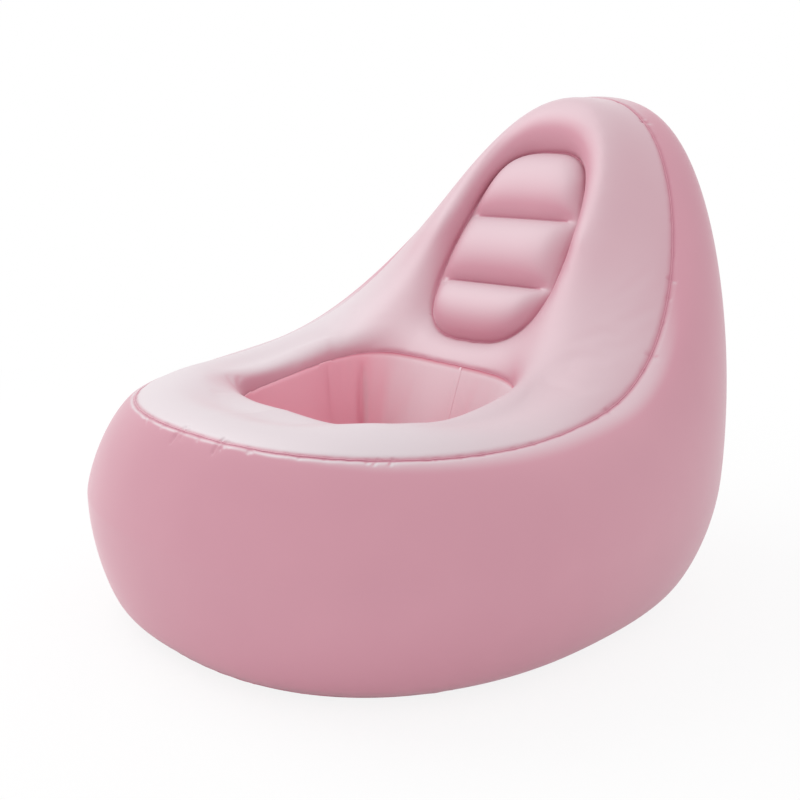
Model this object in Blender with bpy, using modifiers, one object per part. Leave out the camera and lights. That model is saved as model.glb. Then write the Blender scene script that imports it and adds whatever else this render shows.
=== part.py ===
"""Inflatable recovery chair: a ring of air round a seat well that rises into a reclined back.

Metres, +Z up. The chair stands on z = 0, its front faces -Y and X runs across it.
The body is welded from sheets of vinyl film. Columns of points run round the body by plan angle:
0 degrees is the +X side, 90 degrees the middle of the back and 270 degrees the middle of the front.
"""

import math

import bmesh
import bpy
from mathutils import Matrix, Vector

# Film, welds and clearances
FILM = 0.0004
WELD_RADIUS = 0.0012
STRIP_WIDTH = 0.008
RIB_WELD_WIDTH = 0.004
RIB_WELD_DEPTH = 0.0014
CLEARANCE = 0.0003
MERGE_DISTANCE = 0.00001

# Inflated body, measured at its widest
HALF_WIDTH = 0.440
FRONT_REACH = 0.480
BACK_REACH = 0.560
BODY_EXPONENT = 2.32
BELLY_FRONT_HEIGHT = 0.182
BELLY_BACK_HEIGHT = 0.216
LOWER_WALL_POWER = 0.46
UPPER_WALL_FRONT_POWER = 1.52
UPPER_WALL_BACK_POWER = 0.48
UPPER_WALL_SHOULDER_POWER = 0.06
UPPER_WALL_CROWN = 0.009
UPPER_WALL_CROWN_POWER = 3

# Base seam, set in from the widest line
BASE_SIDE_INSET = 0.089
BASE_FRONT_INSET = 0.054
BASE_BACK_INSET = 0.049
BASE_SEAM_HEIGHT = 0.012
BASE_TURN_WIDTH = 0.030
BASE_TURN_SHARES = (0, 0.5, 1)

# Top seam, set in from the widest line
TOP_SIDE_INSET = 0.101
TOP_FRONT_INSET = 0.053
TOP_BACK_INSET = 0.108
TOP_FRONT_HEIGHT = 0.336
TOP_BACK_HEIGHT = 0.790
TOP_RISE_POWER = 4.8
TOP_SIDE_DROP = 0.006
TOP_SHOULDER_LIFT = 0.027

# Crest of the bolster, set in from the top seam
CREST_SIDE_INSET = 0.081
CREST_FRONT_INSET = 0.096
CREST_BACK_INSET = 0.070
CREST_FRONT_HEIGHT = 0.362
CREST_BACK_HEIGHT = 0.793
CREST_RISE_POWER = 4.9
CREST_SHOULDER_LIFT = 0.009
CREST_SHOULDER_SHARE = 0.117
CREST_SHOULDER_PROUD = 0.020
CREST_SEAM_POWER = 1.25
FACE_BOW = 0.006
FACE_BOW_POWER = 2

# Seat well
WELL_HALF_WIDTH = 0.186
WELL_FRONT_REACH = 0.222
WELL_BACK_REACH = 0.093
WELL_EXPONENT = 4.3
RIM_FRONT_HEIGHT = 0.315
RIM_BACK_HEIGHT = 0.362
LIP_FRONT_WIDTH = 0.080
LIP_BACK_WIDTH = 0.040
LIP_FRONT_DEPTH = 0.040
LIP_BACK_DEPTH = 0.046
LIP_SHARE = 0.62
WELL_FOOT_HALF_WIDTH = 0.140
WELL_FOOT_HALF_LENGTH = 0.125
WELL_FOOT_EXPONENT = 3.0
WELL_BULGE = 0.026
WELL_CORNER_BULGE = 0.008

# Back pad, a rounded rectangle on the reclined face
PAD_CENTRE_REACH = 0.246
PAD_HEIGHT = 0.543
PAD_RECLINE = math.radians(36)
PAD_TURN = math.radians(2.6)
PAD_HALF_WIDTH = 0.116
PAD_HALF_LENGTH = 0.185
PAD_EXPONENT = 3.0
PAD_TAPER_SHARE = 0.07
PAD_LIP_WIDTH = 0.055
PAD_LIP_DEPTH = 0.042
UPPER_RIB_WELD = 0.051
LOWER_RIB_WELD = -0.077
RIB_CROWN = 0.030
RIB_BORDER_CROWN = 0.007
RIB_WELD_END_SHARE = 0.84
RIB_END_EXPONENT = 4
VENT_RADIUS = 0.005
LUMBAR_CROWN = 0.030
LUMBAR_SIDE_CROWN = 0.032
LUMBAR_POWER = 0.75
KNOT_REACH = 0.150

# Valve on the middle of the rear wall, with its axis along +Y
FLANGE_RADIUS = 0.028
FLANGE_THICKNESS = 0.002
NECK_RADIUS = 0.018
NECK_BORE_RADIUS = 0.0155
NECK_OUTER_LENGTH = 0.003
NECK_INNER_LENGTH = 0.008
COLLAR_RIM_RADIUS = 0.019
COLLAR_RIM_THICKNESS = 0.0015
COLLAR_BORE_RADIUS = 0.010
COLLAR_TIP_RADIUS = 0.0128
COLLAR_DEPTH = 0.0123
SEAT_BORE_RADIUS = 0.007
SEAT_THICKNESS = 0.0015
CAP_RADIUS = 0.0135
CAP_THICKNESS = 0.002
CAP_SKIRT_DEPTH = 0.003
CAP_SKIRT_WALL = 0.0022
COLLAR_HINGE_REACH = 0.023
CAP_HINGE_REACH = 0.017
FLAP_RADIUS = 0.0095
FLAP_THICKNESS = 0.0008
COLLAR_WEB_RADIUS = 0.00075
CAP_WEB_RADIUS = 0.0008
FLAP_WEB_RADIUS = 0.0004
COLLAR_TAB_WIDTH = 0.010
CAP_TAB_WIDTH = 0.008
FLAP_WEB_LENGTH = 0.006
TAB_OVERLAP = 0.002

# How finely the film is divided
COLUMNS = 72
RIM_FIRST_COLUMN = 35
PAD_LAST_COLUMN = 31
PAD_FIRST_COLUMN = 5
RIM_LAST_COLUMN = 1
CLOSING_WELD_COLUMN = 24
LINER_WELD_STEP = 4
BRIDGE_STEPS = 10
RIB_ROWS = (5, 6, 5)
SIDE_ROWS = sum(RIB_ROWS)
LINER_STEPS = 7
VENT_SIDES = 10
WEB_SIDES = 10
TURNED_STEPS = 28
LOWER_WALL_ANGLES = (0, 6, 16, 32, 50, 70, 90)
UPPER_WALL_ANGLES = (5, 15, 30, 48, 66, 80, 90)
CREST_ANGLE = 45
SMOOTH_PASSES = 4
KNOT_PASSES = 24
SMOOTH_SHARE = 0.5
BRIDGE_SHARES = (0, 0.2, 0.5, 0.8, 1)
FACE_STEPS = (2, 2, 1, 2, 2, 2)

VALVE_PROUD = (
    NECK_OUTER_LENGTH + 2 * CLEARANCE + COLLAR_RIM_THICKNESS + CAP_THICKNESS
)
WAIST_Y = (FRONT_REACH - BACK_REACH - VALVE_PROUD) / 2
WELD_ROOM = WELD_RADIUS + CLEARANCE
UP = Vector((0, 0, 1))
PAD_NORMAL = Vector((0, -math.cos(PAD_RECLINE), math.sin(PAD_RECLINE)))
VALVE_SEAT = Vector((0, WAIST_Y + BACK_REACH, BELLY_BACK_HEIGHT))
RIM_UNDER = NECK_OUTER_LENGTH + CLEARANCE
RIM_OVER = RIM_UNDER + COLLAR_RIM_THICKNESS
COLLAR_TIP = RIM_UNDER - COLLAR_DEPTH
CAP_UNDER = RIM_OVER + CLEARANCE
COLLAR_HINGE_DEPTH = RIM_UNDER + COLLAR_RIM_THICKNESS / 2
CAP_HINGE_DEPTH = RIM_OVER + CLEARANCE + CAP_WEB_RADIUS
FLAP_HINGE_HEIGHT = FLAP_RADIUS + CLEARANCE + FLAP_WEB_RADIUS
FLAP_HINGE_DEPTH = COLLAR_TIP - CLEARANCE - FLAP_WEB_RADIUS


def mix(first, second, share):
    return first + (second - first) * share


def backness(angle, power=1):
    """Share of the way from the front of the chair to its back."""
    return ((1 + math.sin(angle)) / 2) ** power


def superellipse(angle, half_x, half_y, exponent):
    across, along = math.cos(angle), math.sin(angle)
    return (
        math.copysign(half_x * abs(across) ** (2 / exponent), across),
        math.copysign(half_y * abs(along) ** (2 / exponent), along),
    )


def column_angle(column):
    return 2 * math.pi * column / COLUMNS


def body_ring(angle, side_inset, front_inset, back_inset, height):
    """Point of a level ring round the body, set in from the widest line."""
    if math.sin(angle) > 0:
        reach = BACK_REACH - back_inset
    else:
        reach = FRONT_REACH - front_inset
    x, y = superellipse(angle, HALF_WIDTH - side_inset, reach, BODY_EXPONENT)
    return Vector((x, y + WAIST_Y, height))


def shoulder(angle):
    """Share that is 1 midway between the side and the middle of the back, and 0 at both."""
    return math.sin(2 * angle) ** 2 if math.sin(angle) > 0 else 0


def base_ring(angle):
    return body_ring(
        angle, BASE_SIDE_INSET, BASE_FRONT_INSET, BASE_BACK_INSET, BASE_SEAM_HEIGHT
    )


def belly_ring(angle):
    height = mix(BELLY_FRONT_HEIGHT, BELLY_BACK_HEIGHT, backness(angle))
    return body_ring(angle, 0, 0, 0, height)


def top_ring(angle):
    height = mix(TOP_FRONT_HEIGHT, TOP_BACK_HEIGHT, backness(angle, TOP_RISE_POWER))
    height += TOP_SHOULDER_LIFT * shoulder(angle) - TOP_SIDE_DROP * math.cos(angle) ** 2
    return body_ring(angle, TOP_SIDE_INSET, TOP_FRONT_INSET, TOP_BACK_INSET, height)


def crest_ring(angle):
    height = mix(CREST_FRONT_HEIGHT, CREST_BACK_HEIGHT, backness(angle, CREST_RISE_POWER))
    height += CREST_SHOULDER_LIFT * shoulder(angle)
    point = body_ring(
        angle,
        TOP_SIDE_INSET + CREST_SIDE_INSET,
        TOP_FRONT_INSET + CREST_FRONT_INSET,
        TOP_BACK_INSET + CREST_BACK_INSET,
        height,
    )
    keep = 1 - CREST_SHOULDER_SHARE * shoulder(angle)
    point = Vector((point.x * keep, WAIST_Y + (point.y - WAIST_Y) * keep, point.z))
    return point + PAD_NORMAL * CREST_SHOULDER_PROUD * shoulder(angle)


def wall_profile(column):
    """Points up the side wall, from the base seam past the widest line to the top seam."""
    angle = column_angle(column)
    foot, belly, top = base_ring(angle), belly_ring(angle), top_ring(angle)
    power = mix(UPPER_WALL_FRONT_POWER, UPPER_WALL_BACK_POWER, backness(angle))
    power += UPPER_WALL_SHOULDER_POWER * shoulder(angle)
    points = []
    for turn in map(math.radians, LOWER_WALL_ANGLES):
        out = mix(foot, belly, math.sin(turn) ** LOWER_WALL_POWER)
        rise = (1 - math.cos(turn)) ** LOWER_WALL_POWER
        points.append(Vector((out.x, out.y, mix(foot.z, belly.z, rise))))
    crown = UPPER_WALL_CROWN * backness(angle, UPPER_WALL_CROWN_POWER)
    for turn in map(math.radians, UPPER_WALL_ANGLES):
        inset = 1 - max(math.cos(turn), 0) ** power
        out = mix(belly, top, inset)
        rise = mix(belly.z, top.z, math.sin(turn) ** power)
        points.append(Vector((out.x, out.y, rise + crown * 4 * inset * (1 - inset))))
    return points


def pad_point(across, along, proud=0):
    """Point of the back pad's own plane: across it, up along it and proud of it."""
    turned_x = across * math.cos(PAD_TURN) - along * math.sin(PAD_TURN)
    turned_up = across * math.sin(PAD_TURN) + along * math.cos(PAD_TURN)
    centre = Vector((0, WAIST_Y + PAD_CENTRE_REACH, PAD_HEIGHT))
    climb = Vector((0, math.sin(PAD_RECLINE), math.cos(PAD_RECLINE)))
    return centre + Vector((turned_x, 0, 0)) + climb * turned_up + PAD_NORMAL * proud


PAD_CORNER_X, PAD_CORNER_Y = superellipse(
    math.radians(45), PAD_HALF_WIDTH, PAD_HALF_LENGTH, PAD_EXPONENT
)


def pad_taper(along):
    """Share of the half width left at a height of the pad, which narrows upwards."""
    return 1 - PAD_TAPER_SHARE * along / PAD_HALF_LENGTH


def rib_share(row, rows):
    """Share of the way across a rib, with the rows closer together near its welds."""
    return (1 - math.cos(math.pi * row / rows)) / 2


def pad_levels():
    """Heights of the rows along the pad's sides, with one on each rib weld."""
    stops = (-PAD_CORNER_Y, LOWER_RIB_WELD, UPPER_RIB_WELD, PAD_CORNER_Y)
    levels = [stops[0]]
    for low, high, rows in zip(stops, stops[1:], RIB_ROWS):
        levels += [mix(low, high, rib_share(row + 1, rows)) for row in range(rows)]
    return levels


def pad_side(along):
    """Half width of the pad at one of its side heights."""
    share = (1 - abs(along / PAD_HALF_LENGTH) ** PAD_EXPONENT) ** (1 / PAD_EXPONENT)
    return PAD_HALF_WIDTH * share * pad_taper(along)


def pad_side_flat(along):
    """The same on the straight pieces between every second row."""
    levels = pad_levels()[::2]
    for low, high in zip(levels, levels[1:]):
        if along <= high + FILM:
            return mix(pad_side(low), pad_side(high), (along - low) / (high - low))
    return pad_side(levels[-1])


def pad_end(share, end):
    """Point on the pad's top (end 1) or bottom (end -1) edge, at a share across it."""
    across = PAD_CORNER_X * share
    flat = (1 - abs(across / PAD_HALF_WIDTH) ** PAD_EXPONENT) ** (1 / PAD_EXPONENT)
    along = end * PAD_HALF_LENGTH * flat
    return across * pad_taper(along), along


def pad_arc():
    """Outline of the pad from its lower +X corner over the top to the lower -X corner."""
    levels = pad_levels()[::2]
    right = [(pad_side(level), level) for level in levels]
    ends = [1 - 2 * step / BRIDGE_STEPS for step in range(1, BRIDGE_STEPS)]
    left = [(-across, along) for across, along in reversed(right)]
    return right + [pad_end(share, 1) for share in ends] + left


def bridge_shares():
    """Shares across the strip between pad and well, from +X to -X."""
    return [1 - 2 * step / BRIDGE_STEPS for step in range(BRIDGE_STEPS + 1)]


def rim_height(reach):
    share = (reach + WELL_FRONT_REACH) / (WELL_FRONT_REACH + WELL_BACK_REACH)
    return mix(RIM_FRONT_HEIGHT, RIM_BACK_HEIGHT, share)


WELL_HALF_LENGTH = (WELL_FRONT_REACH + WELL_BACK_REACH) / 2
WELL_CENTRE_REACH = (WELL_BACK_REACH - WELL_FRONT_REACH) / 2
WELL_CORNER_X, WELL_CORNER_Y = superellipse(
    math.radians(45), WELL_HALF_WIDTH, WELL_HALF_LENGTH, WELL_EXPONENT
)
WELL_CORNER_ANGLE = math.atan2(WELL_CORNER_Y, WELL_CORNER_X)


def polar_point(angle, half_x, half_y, exponent):
    """Point of a superellipse in the direction of an angle."""
    x, y = math.cos(angle), math.sin(angle)
    size = (abs(x / half_x) ** exponent + abs(y / half_y) ** exponent) ** (-1 / exponent)
    return x * size, y * size


def well_angles():
    """Directions of the well's columns from its rear -X corner round the front and back again."""
    steps = COLUMNS - RIM_FIRST_COLUMN + RIM_LAST_COLUMN
    start, end = math.pi - WELL_CORNER_ANGLE, 2 * math.pi + WELL_CORNER_ANGLE
    front = [mix(start, end, step / steps) for step in range(steps + 1)]
    rear = []
    for share in bridge_shares()[1:-1]:
        across = WELL_CORNER_X * share
        flat = (1 - abs(across / WELL_HALF_WIDTH) ** WELL_EXPONENT) ** (1 / WELL_EXPONENT)
        rear.append(math.atan2(WELL_HALF_LENGTH * flat, across))
    return front + rear


def rim_loop():
    points = []
    for angle in well_angles():
        x, y = polar_point(angle, WELL_HALF_WIDTH, WELL_HALF_LENGTH, WELL_EXPONENT)
        reach = WELL_CENTRE_REACH + y
        points.append(Vector((x, WAIST_Y + reach, rim_height(reach))))
    return points


def foot_loop():
    points = []
    for angle in well_angles():
        x, y = polar_point(
            angle, WELL_FOOT_HALF_WIDTH, WELL_FOOT_HALF_LENGTH, WELL_FOOT_EXPONENT
        )
        points.append(Vector((x, WAIST_Y + WELL_CENTRE_REACH + y, BASE_SEAM_HEIGHT)))
    return points


def lumbar_point(low, high, share, across):
    """Point of the bolster between the well's rim and the pad, at a share from low to high."""
    crown = mix(LUMBAR_CROWN, LUMBAR_SIDE_CROWN, across**2)
    normal = mix(UP, PAD_NORMAL, share).normalized()
    return mix(low, high, share) + normal * crown * (4 * share * (1 - share)) ** LUMBAR_POWER


def inner_loop():
    """Loop round well and pad, one entry a column: point, outward normal, lip width and depth."""
    rim, pad = rim_loop(), [pad_point(*spot) for spot in pad_arc()]
    loop = {}
    for column in range(RIM_FIRST_COLUMN, COLUMNS + RIM_LAST_COLUMN + 1):
        back = backness(column_angle(column))
        width = mix(LIP_FRONT_WIDTH, LIP_BACK_WIDTH, back)
        depth = mix(LIP_FRONT_DEPTH, LIP_BACK_DEPTH, back)
        loop[column % COLUMNS] = (rim[column - RIM_FIRST_COLUMN], UP, width, depth)
    for column in range(PAD_FIRST_COLUMN, PAD_LAST_COLUMN + 1):
        point = pad[column - PAD_FIRST_COLUMN]
        loop[column] = (point, PAD_NORMAL, PAD_LIP_WIDTH, PAD_LIP_DEPTH)
    for rim_column, pad_column in (
        (RIM_LAST_COLUMN, PAD_FIRST_COLUMN),
        (RIM_FIRST_COLUMN, PAD_LAST_COLUMN),
    ):
        step = 1 if pad_column > rim_column else -1
        for count, share in enumerate(BRIDGE_SHARES[1:-1], start=1):
            low, high = loop[rim_column][0], loop[pad_column][0]
            point = lumbar_point(low, high, share, 1)
            normal = mix(UP, PAD_NORMAL, share).normalized()
            width = mix(LIP_BACK_WIDTH, PAD_LIP_WIDTH, share)
            loop[rim_column + step * count] = (point, normal, width, FACE_BOW)
    return loop


def curve_through(points, steps):
    """Points of a smooth curve through the given ones, with so many steps in each span."""
    first = points[0] * 2 - points[1]
    last = points[-1] * 2 - points[-2]
    run = [first, *points, last]
    result = [points[0]]
    for index, count in enumerate(steps):
        p0, p1, p2, p3 = run[index : index + 4]
        t1 = (p1 - p0).length ** 0.5
        t2 = t1 + (p2 - p1).length ** 0.5
        t3 = t2 + (p3 - p2).length ** 0.5
        for step in range(1, count + 1):
            t = mix(t1, t2, step / count)
            a1 = mix(p0, p1, t / t1)
            a2 = mix(p1, p2, (t - t1) / (t2 - t1))
            a3 = mix(p2, p3, (t - t2) / (t3 - t2))
            b1 = mix(a1, a2, t / t2)
            b2 = mix(a2, a3, (t - t1) / (t3 - t1))
            result.append(mix(b1, b2, (t - t1) / (t2 - t1)))
    return result


def face_profile(column, loop):
    """Points of the top panel from the top seam over the crest to the loop round well and pad."""
    angle = column_angle(column)
    seam, crest = top_ring(angle), crest_ring(angle)
    end, normal, width, depth = loop[column]
    turn = math.radians(CREST_ANGLE)
    inward = mix(seam, crest, 1 - math.cos(turn) ** CREST_SEAM_POWER)
    rise = mix(seam.z, crest.z, math.sin(turn) ** CREST_SEAM_POWER)
    hip = Vector((inward.x, inward.y, rise))
    away = crest - end
    away -= normal * away.dot(normal)
    fit = min(1, LIP_SHARE * away.length / width)
    away, width, depth = away.normalized(), width * fit, depth * math.sqrt(fit)
    lip = end + away * width + normal * depth
    knee_in, knee_down = math.cos(turn), math.sin(turn)
    knee = end + away * width * (1 - knee_in) + normal * depth * knee_down
    bow = FACE_BOW * backness(angle, FACE_BOW_POWER)
    middle = mix(crest, lip, 0.5) - normal * bow
    return curve_through([seam, hip, crest, middle, lip, knee, end], FACE_STEPS)


def drawn_in(border, inside, closed=True):
    """A border row moved towards the row inside it, to leave room for a weld along it."""
    moved = []
    for step, (point, within) in enumerate(zip(border, inside)):
        before = border[step - 1] if closed or step else point
        after = border[(step + 1) % len(border)] if closed or step + 1 < len(border) else point
        along = (after - before).normalized()
        toward = (within - point).normalized()
        moved.append(point + toward * WELD_ROOM / toward.cross(along).length)
    return moved


def rows_of(profiles):
    """Rows across a set of profiles that all have as many points."""
    return [list(row) for row in zip(*profiles)]


def between_welds(profiles, closed=True):
    """Rows of a sheet whose first and last rows leave room for the welds along them."""
    rows = rows_of(profiles)
    first = drawn_in(rows[0], rows[1], closed)
    last = drawn_in(rows[-1], rows[-2], closed)
    return [first, *rows[1:-1], last]


def new_object(name, mesh, material, collection):
    made = bpy.data.objects.new(name, mesh)
    made.data.materials.append(material)
    collection.objects.link(made)
    return made


def loft(name, rows, closed, material, collection):
    """Open sheet between rows of points, which runs round on itself where closed is true."""
    form = bmesh.new()
    grid = [[form.verts.new(point) for point in row] for row in rows]
    count = len(rows[0])
    for low, high in zip(grid, grid[1:]):
        for step in range(count if closed else count - 1):
            after = (step + 1) % count
            form.faces.new((low[step], low[after], high[after], high[step]))
    return finished_sheet(name, form, material, collection)


def finished_sheet(name, form, material, collection, outward=False, thickness=FILM):
    """Object with the thickness of the film, on the inner side of the sheet unless outward."""
    mesh = bpy.data.meshes.new(name)
    form.to_mesh(mesh)
    form.free()
    mesh.shade_smooth()
    made = new_object(name, mesh, material, collection)
    shell = made.modifiers.new("film", "SOLIDIFY")
    shell.thickness = thickness
    shell.offset = 1 if outward else -1
    shell.use_even_offset = True
    return made


def weld_bead(name, points, material, collection, cyclic=True, radius=WELD_RADIUS):
    curve = bpy.data.curves.new(name, "CURVE")
    curve.dimensions = "3D"
    curve.bevel_depth = radius
    curve.bevel_resolution = 0
    curve.use_fill_caps = not cyclic
    spline = curve.splines.new("POLY")
    spline.points.add(len(points) - 1)
    for spot, point in zip(spline.points, points):
        spot.co = (*point, 1)
    spline.use_cyclic_u = cyclic
    return new_object(name, curve, material, collection)


def wall_rows():
    return between_welds([wall_profile(column) for column in range(COLUMNS)])


def side_wall_panel(material, collection, cutters):
    wall = loft("side_wall_panel", wall_rows(), True, material, collection)
    cutter = turned(
        "valve_hole_cutter",
        (
            (0, FLANGE_RADIUS),
            (FLANGE_RADIUS + CLEARANCE, FLANGE_RADIUS),
            (FLANGE_RADIUS + CLEARANCE, -FLANGE_RADIUS),
            (0, -FLANGE_RADIUS),
        ),
        material,
        cutters,
    )
    cut(wall, cutter, "DIFFERENCE")


def strip_rows(rows, column, width):
    """Rows of three points across a strip that follows one column of a sheet."""
    result = []
    for row in rows:
        before, centre, after = row[column - 1], row[column], row[column + 1]
        left = centre + (before - centre).normalized() * width / 2
        right = centre + (after - centre).normalized() * width / 2
        result.append((left, centre, right))
    return result


def laid_strip(name, rows, material, collection):
    """Strip of film lying a clearance above a sheet whose faces follow the same rows."""
    form = bmesh.new()
    grid = [[form.verts.new(point) for point in row] for row in rows]
    for low, high in zip(grid, grid[1:]):
        for step in range(len(low) - 1):
            form.faces.new((low[step], low[step + 1], high[step + 1], high[step]))
    form.normal_update()
    lifted = [(spot, spot.co + spot.normal * CLEARANCE) for spot in form.verts]
    for spot, place in lifted:
        spot.co = place
    finished_sheet(name, form, material, collection, outward=True)


def side_wall_closing_weld(material, collection):
    rows = strip_rows(wall_rows(), CLOSING_WELD_COLUMN, STRIP_WIDTH)
    laid_strip("side_wall_closing_weld", rows, material, collection)


def top_panel(material, collection):
    loop = inner_loop()
    borderless = {
        column
        for low, high in (
            (RIM_LAST_COLUMN, PAD_FIRST_COLUMN),
            (PAD_LAST_COLUMN, RIM_FIRST_COLUMN),
        )
        for column in range(low + 1, high)
    }
    profiles = [face_profile(column, loop) for column in range(COLUMNS)]
    rows = between_welds(profiles)
    for column in borderless:
        rows[-1][column] = profiles[column][-1]
    form = bmesh.new()
    grid = [[form.verts.new(point) for point in line] for line in zip(*rows)]
    for column in range(COLUMNS):
        here, after = grid[column], grid[(column + 1) % COLUMNS]
        for step in range(len(here) - 1):
            form.faces.new((here[step], after[step], after[step + 1], here[step + 1]))
    add_lumbar_bridge(form, grid)
    even_out(form)
    finished_sheet("top_panel", form, material, collection)


def even_out(form):
    """Smooths a sheet everywhere but along its edges."""
    inside = [spot for spot in form.verts if not spot.is_boundary]
    corners = [pad_point(side * PAD_CORNER_X, -PAD_CORNER_Y) for side in (-1, 1)]
    knotted = [
        spot
        for spot in inside
        if min((spot.co - corner).length for corner in corners) < KNOT_REACH
    ]
    for spots, passes in ((inside, SMOOTH_PASSES), (knotted, KNOT_PASSES)):
        for _ in range(passes):
            bmesh.ops.smooth_vert(
                form, verts=spots, factor=SMOOTH_SHARE,
                use_axis_x=True, use_axis_y=True, use_axis_z=True,
            )


def add_lumbar_bridge(form, grid):
    """Faces between the rear edge of the well and the lower edge of the pad."""
    rim = rim_loop()
    rear = rim[COLUMNS - RIM_FIRST_COLUMN + RIM_LAST_COLUMN :] + rim[:1]
    lines = []
    for low, share in zip(rear, bridge_shares()):
        high = pad_point(*pad_end(share, -1))
        lines.append([lumbar_point(low, high, step, share) for step in BRIDGE_SHARES])
    rows = between_welds(lines, closed=False)
    right = [grid[column][-1] for column in range(RIM_LAST_COLUMN, PAD_FIRST_COLUMN + 1)]
    left = [
        grid[column][-1] for column in range(RIM_FIRST_COLUMN, PAD_LAST_COLUMN - 1, -1)
    ]
    inner = [[form.verts.new(row[step]) for row in rows] for step in range(1, BRIDGE_STEPS)]
    strips = [right, *inner, left]
    for here, after in zip(strips, strips[1:]):
        for step in range(len(here) - 1):
            form.faces.new((here[step], here[step + 1], after[step + 1], after[step]))


def rib_height(share, along_share, across_share):
    """How proud a rib stands at a share of the way across its width."""
    bulge = math.sqrt(max(0, 1 - (2 * share - 1) ** 2))
    side = math.sqrt(max(0, 1 - abs(across_share) ** RIB_END_EXPONENT))
    past_weld = max(0, abs(across_share) - RIB_WELD_END_SHARE) / (1 - RIB_WELD_END_SHARE)
    border = RIB_BORDER_CROWN * math.sin(math.pi * past_weld) * along_share
    return max(RIB_CROWN * bulge * side, border)


def back_pad_panel(material, collection):
    """Film of the pad: three ribs between the two welds, joined round the welds' ends."""
    levels = pad_levels()
    starts = [sum(RIB_ROWS[:rib]) for rib in range(len(RIB_ROWS))]
    rows = []
    for index, level in enumerate(levels):
        rib = max(number for number, start in enumerate(starts) if index >= start)
        across_rib = rib_share(index - starts[rib], RIB_ROWS[rib])
        end = -1 if rib == 0 else 1
        toward_end = {0: 1 - across_rib, len(RIB_ROWS) - 1: across_rib}.get(rib, 0)
        on_weld = 0 < index < SIDE_ROWS
        rows.append([
            pad_film_point(level, share, end, toward_end, across_rib, on_weld)
            for share in reversed(bridge_shares())
        ])
    loft("back_pad_panel", inside_border(rows), False, material, collection)


def inside_border(rows):
    """The same grid with its four sides and corners drawn in from the weld round it."""
    low, *middle, high = between_welds(rows_of(rows), closed=False)
    sides = between_welds(rows, closed=False)
    result = [low]
    for step, row in enumerate(middle, start=1):
        result.append([sides[0][step], *row[1:-1], sides[-1][step]])
    result.append(high)
    last, end = len(rows) - 1, len(rows[0]) - 1
    for row, column in ((0, 0), (0, end), (last, 0), (last, end)):
        near_row, near_column = min(max(row, 1), last - 1), min(max(column, 1), end - 1)
        border = (rows[near_row][column], rows[row][column], rows[row][near_column])
        inside = [rows[near_row][near_column]] * len(border)
        result[row][column] = drawn_in(border, inside, closed=False)[1]
    return result


def pad_film_point(level, share, end, toward_end, across_rib, on_weld):
    """Point of the pad's film; the rows bend to meet the round ends of the pad."""
    side = pad_side_flat(level)
    across, along = side * share, level
    if toward_end > 0:
        end_x, end_y = pad_end(share, end)
        corner = PAD_CORNER_X * pad_taper(end * PAD_CORNER_Y)
        across = side * share + (end_x - corner * share) * toward_end
        along = level + (end_y - end * PAD_CORNER_Y) * toward_end
    proud = rib_height(across_rib, 1 if on_weld else 0, share)
    return pad_point(across, along, proud)


def pad_outline():
    """Closed outline of the pad in its own plane."""
    bottom = [pad_end(-share, -1) for share in bridge_shares()[1:-1]]
    return pad_arc() + bottom


def pad_backing_sheet(material, collection):
    """Flat sheet behind the ribs, with holes that let air through to them."""
    depth = RIB_WELD_DEPTH + FILM + CLEARANCE + FILM / 2
    curve = bpy.data.curves.new("pad_backing_sheet", "CURVE")
    curve.dimensions = "2D"
    curve.fill_mode = "BOTH"
    curve.extrude = FILM / 2
    keep = 1 - 2 * WELD_ROOM / PAD_HALF_WIDTH
    add_flat_spline(curve, [(x * keep, y * keep) for x, y in pad_outline()])
    vent_rows = (
        mix(-PAD_HALF_LENGTH, LOWER_RIB_WELD, 0.5),
        mix(LOWER_RIB_WELD, UPPER_RIB_WELD, 0.5),
        mix(UPPER_RIB_WELD, PAD_HALF_LENGTH, 0.5),
    )
    for along in vent_rows:
        for across in (-PAD_HALF_WIDTH / 2, PAD_HALF_WIDTH / 2):
            add_flat_spline(curve, ring_points(across, along, VENT_RADIUS))
    sheet = new_object("pad_backing_sheet", curve, material, collection)
    sheet.location = pad_point(0, 0, -depth)
    sheet.rotation_mode = "XYZ"
    across = (pad_point(1, 0) - pad_point(0, 0)).normalized()
    along = (pad_point(0, 1) - pad_point(0, 0)).normalized()
    turn = sheet.matrix_world.to_3x3()
    turn.col[0], turn.col[1], turn.col[2] = across, along, PAD_NORMAL
    sheet.rotation_euler = turn.to_euler("XYZ")


def ring_points(x, y, radius):
    turns = [2 * math.pi * side / VENT_SIDES for side in range(VENT_SIDES)]
    return [(x + radius * math.cos(turn), y + radius * math.sin(turn)) for turn in turns]


def add_flat_spline(curve, spots):
    spline = curve.splines.new("POLY")
    spline.points.add(len(spots) - 1)
    for spot, (x, y) in zip(spline.points, spots):
        spot.co = (x, y, 0, 1)
    spline.use_cyclic_u = True


def rib_weld(name, along, material, collection):
    """Fused line that holds the pad's film down to the sheet behind it."""
    reach = pad_side_flat(along) * RIB_WELD_END_SHARE
    lower, upper = along - RIB_WELD_WIDTH / 2, along + RIB_WELD_WIDTH / 2
    rows = [
        [pad_point(side * reach, level, -RIB_WELD_DEPTH) for side in (-1, 1)]
        for level in (lower, upper)
    ]
    loft(name, rows, False, material, collection)


def liner_profiles():
    """Points down the wall of the well, which bulges inwards between its rims."""
    centre = Vector((0, WAIST_Y + WELL_CENTRE_REACH, 0))
    profiles = []
    for angle, rim, foot in zip(well_angles(), rim_loop(), foot_loop()):
        corner = math.sin(2 * angle) ** 2
        bulge = mix(WELL_BULGE, WELL_CORNER_BULGE, corner)
        points = []
        for step in range(LINER_STEPS + 1):
            share = step / LINER_STEPS
            point = mix(rim, foot, share)
            inward = centre - Vector((point.x, point.y, 0))
            points.append(point + inward.normalized() * bulge * math.sin(math.pi * share))
        profiles.append(points)
    return profiles


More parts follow.
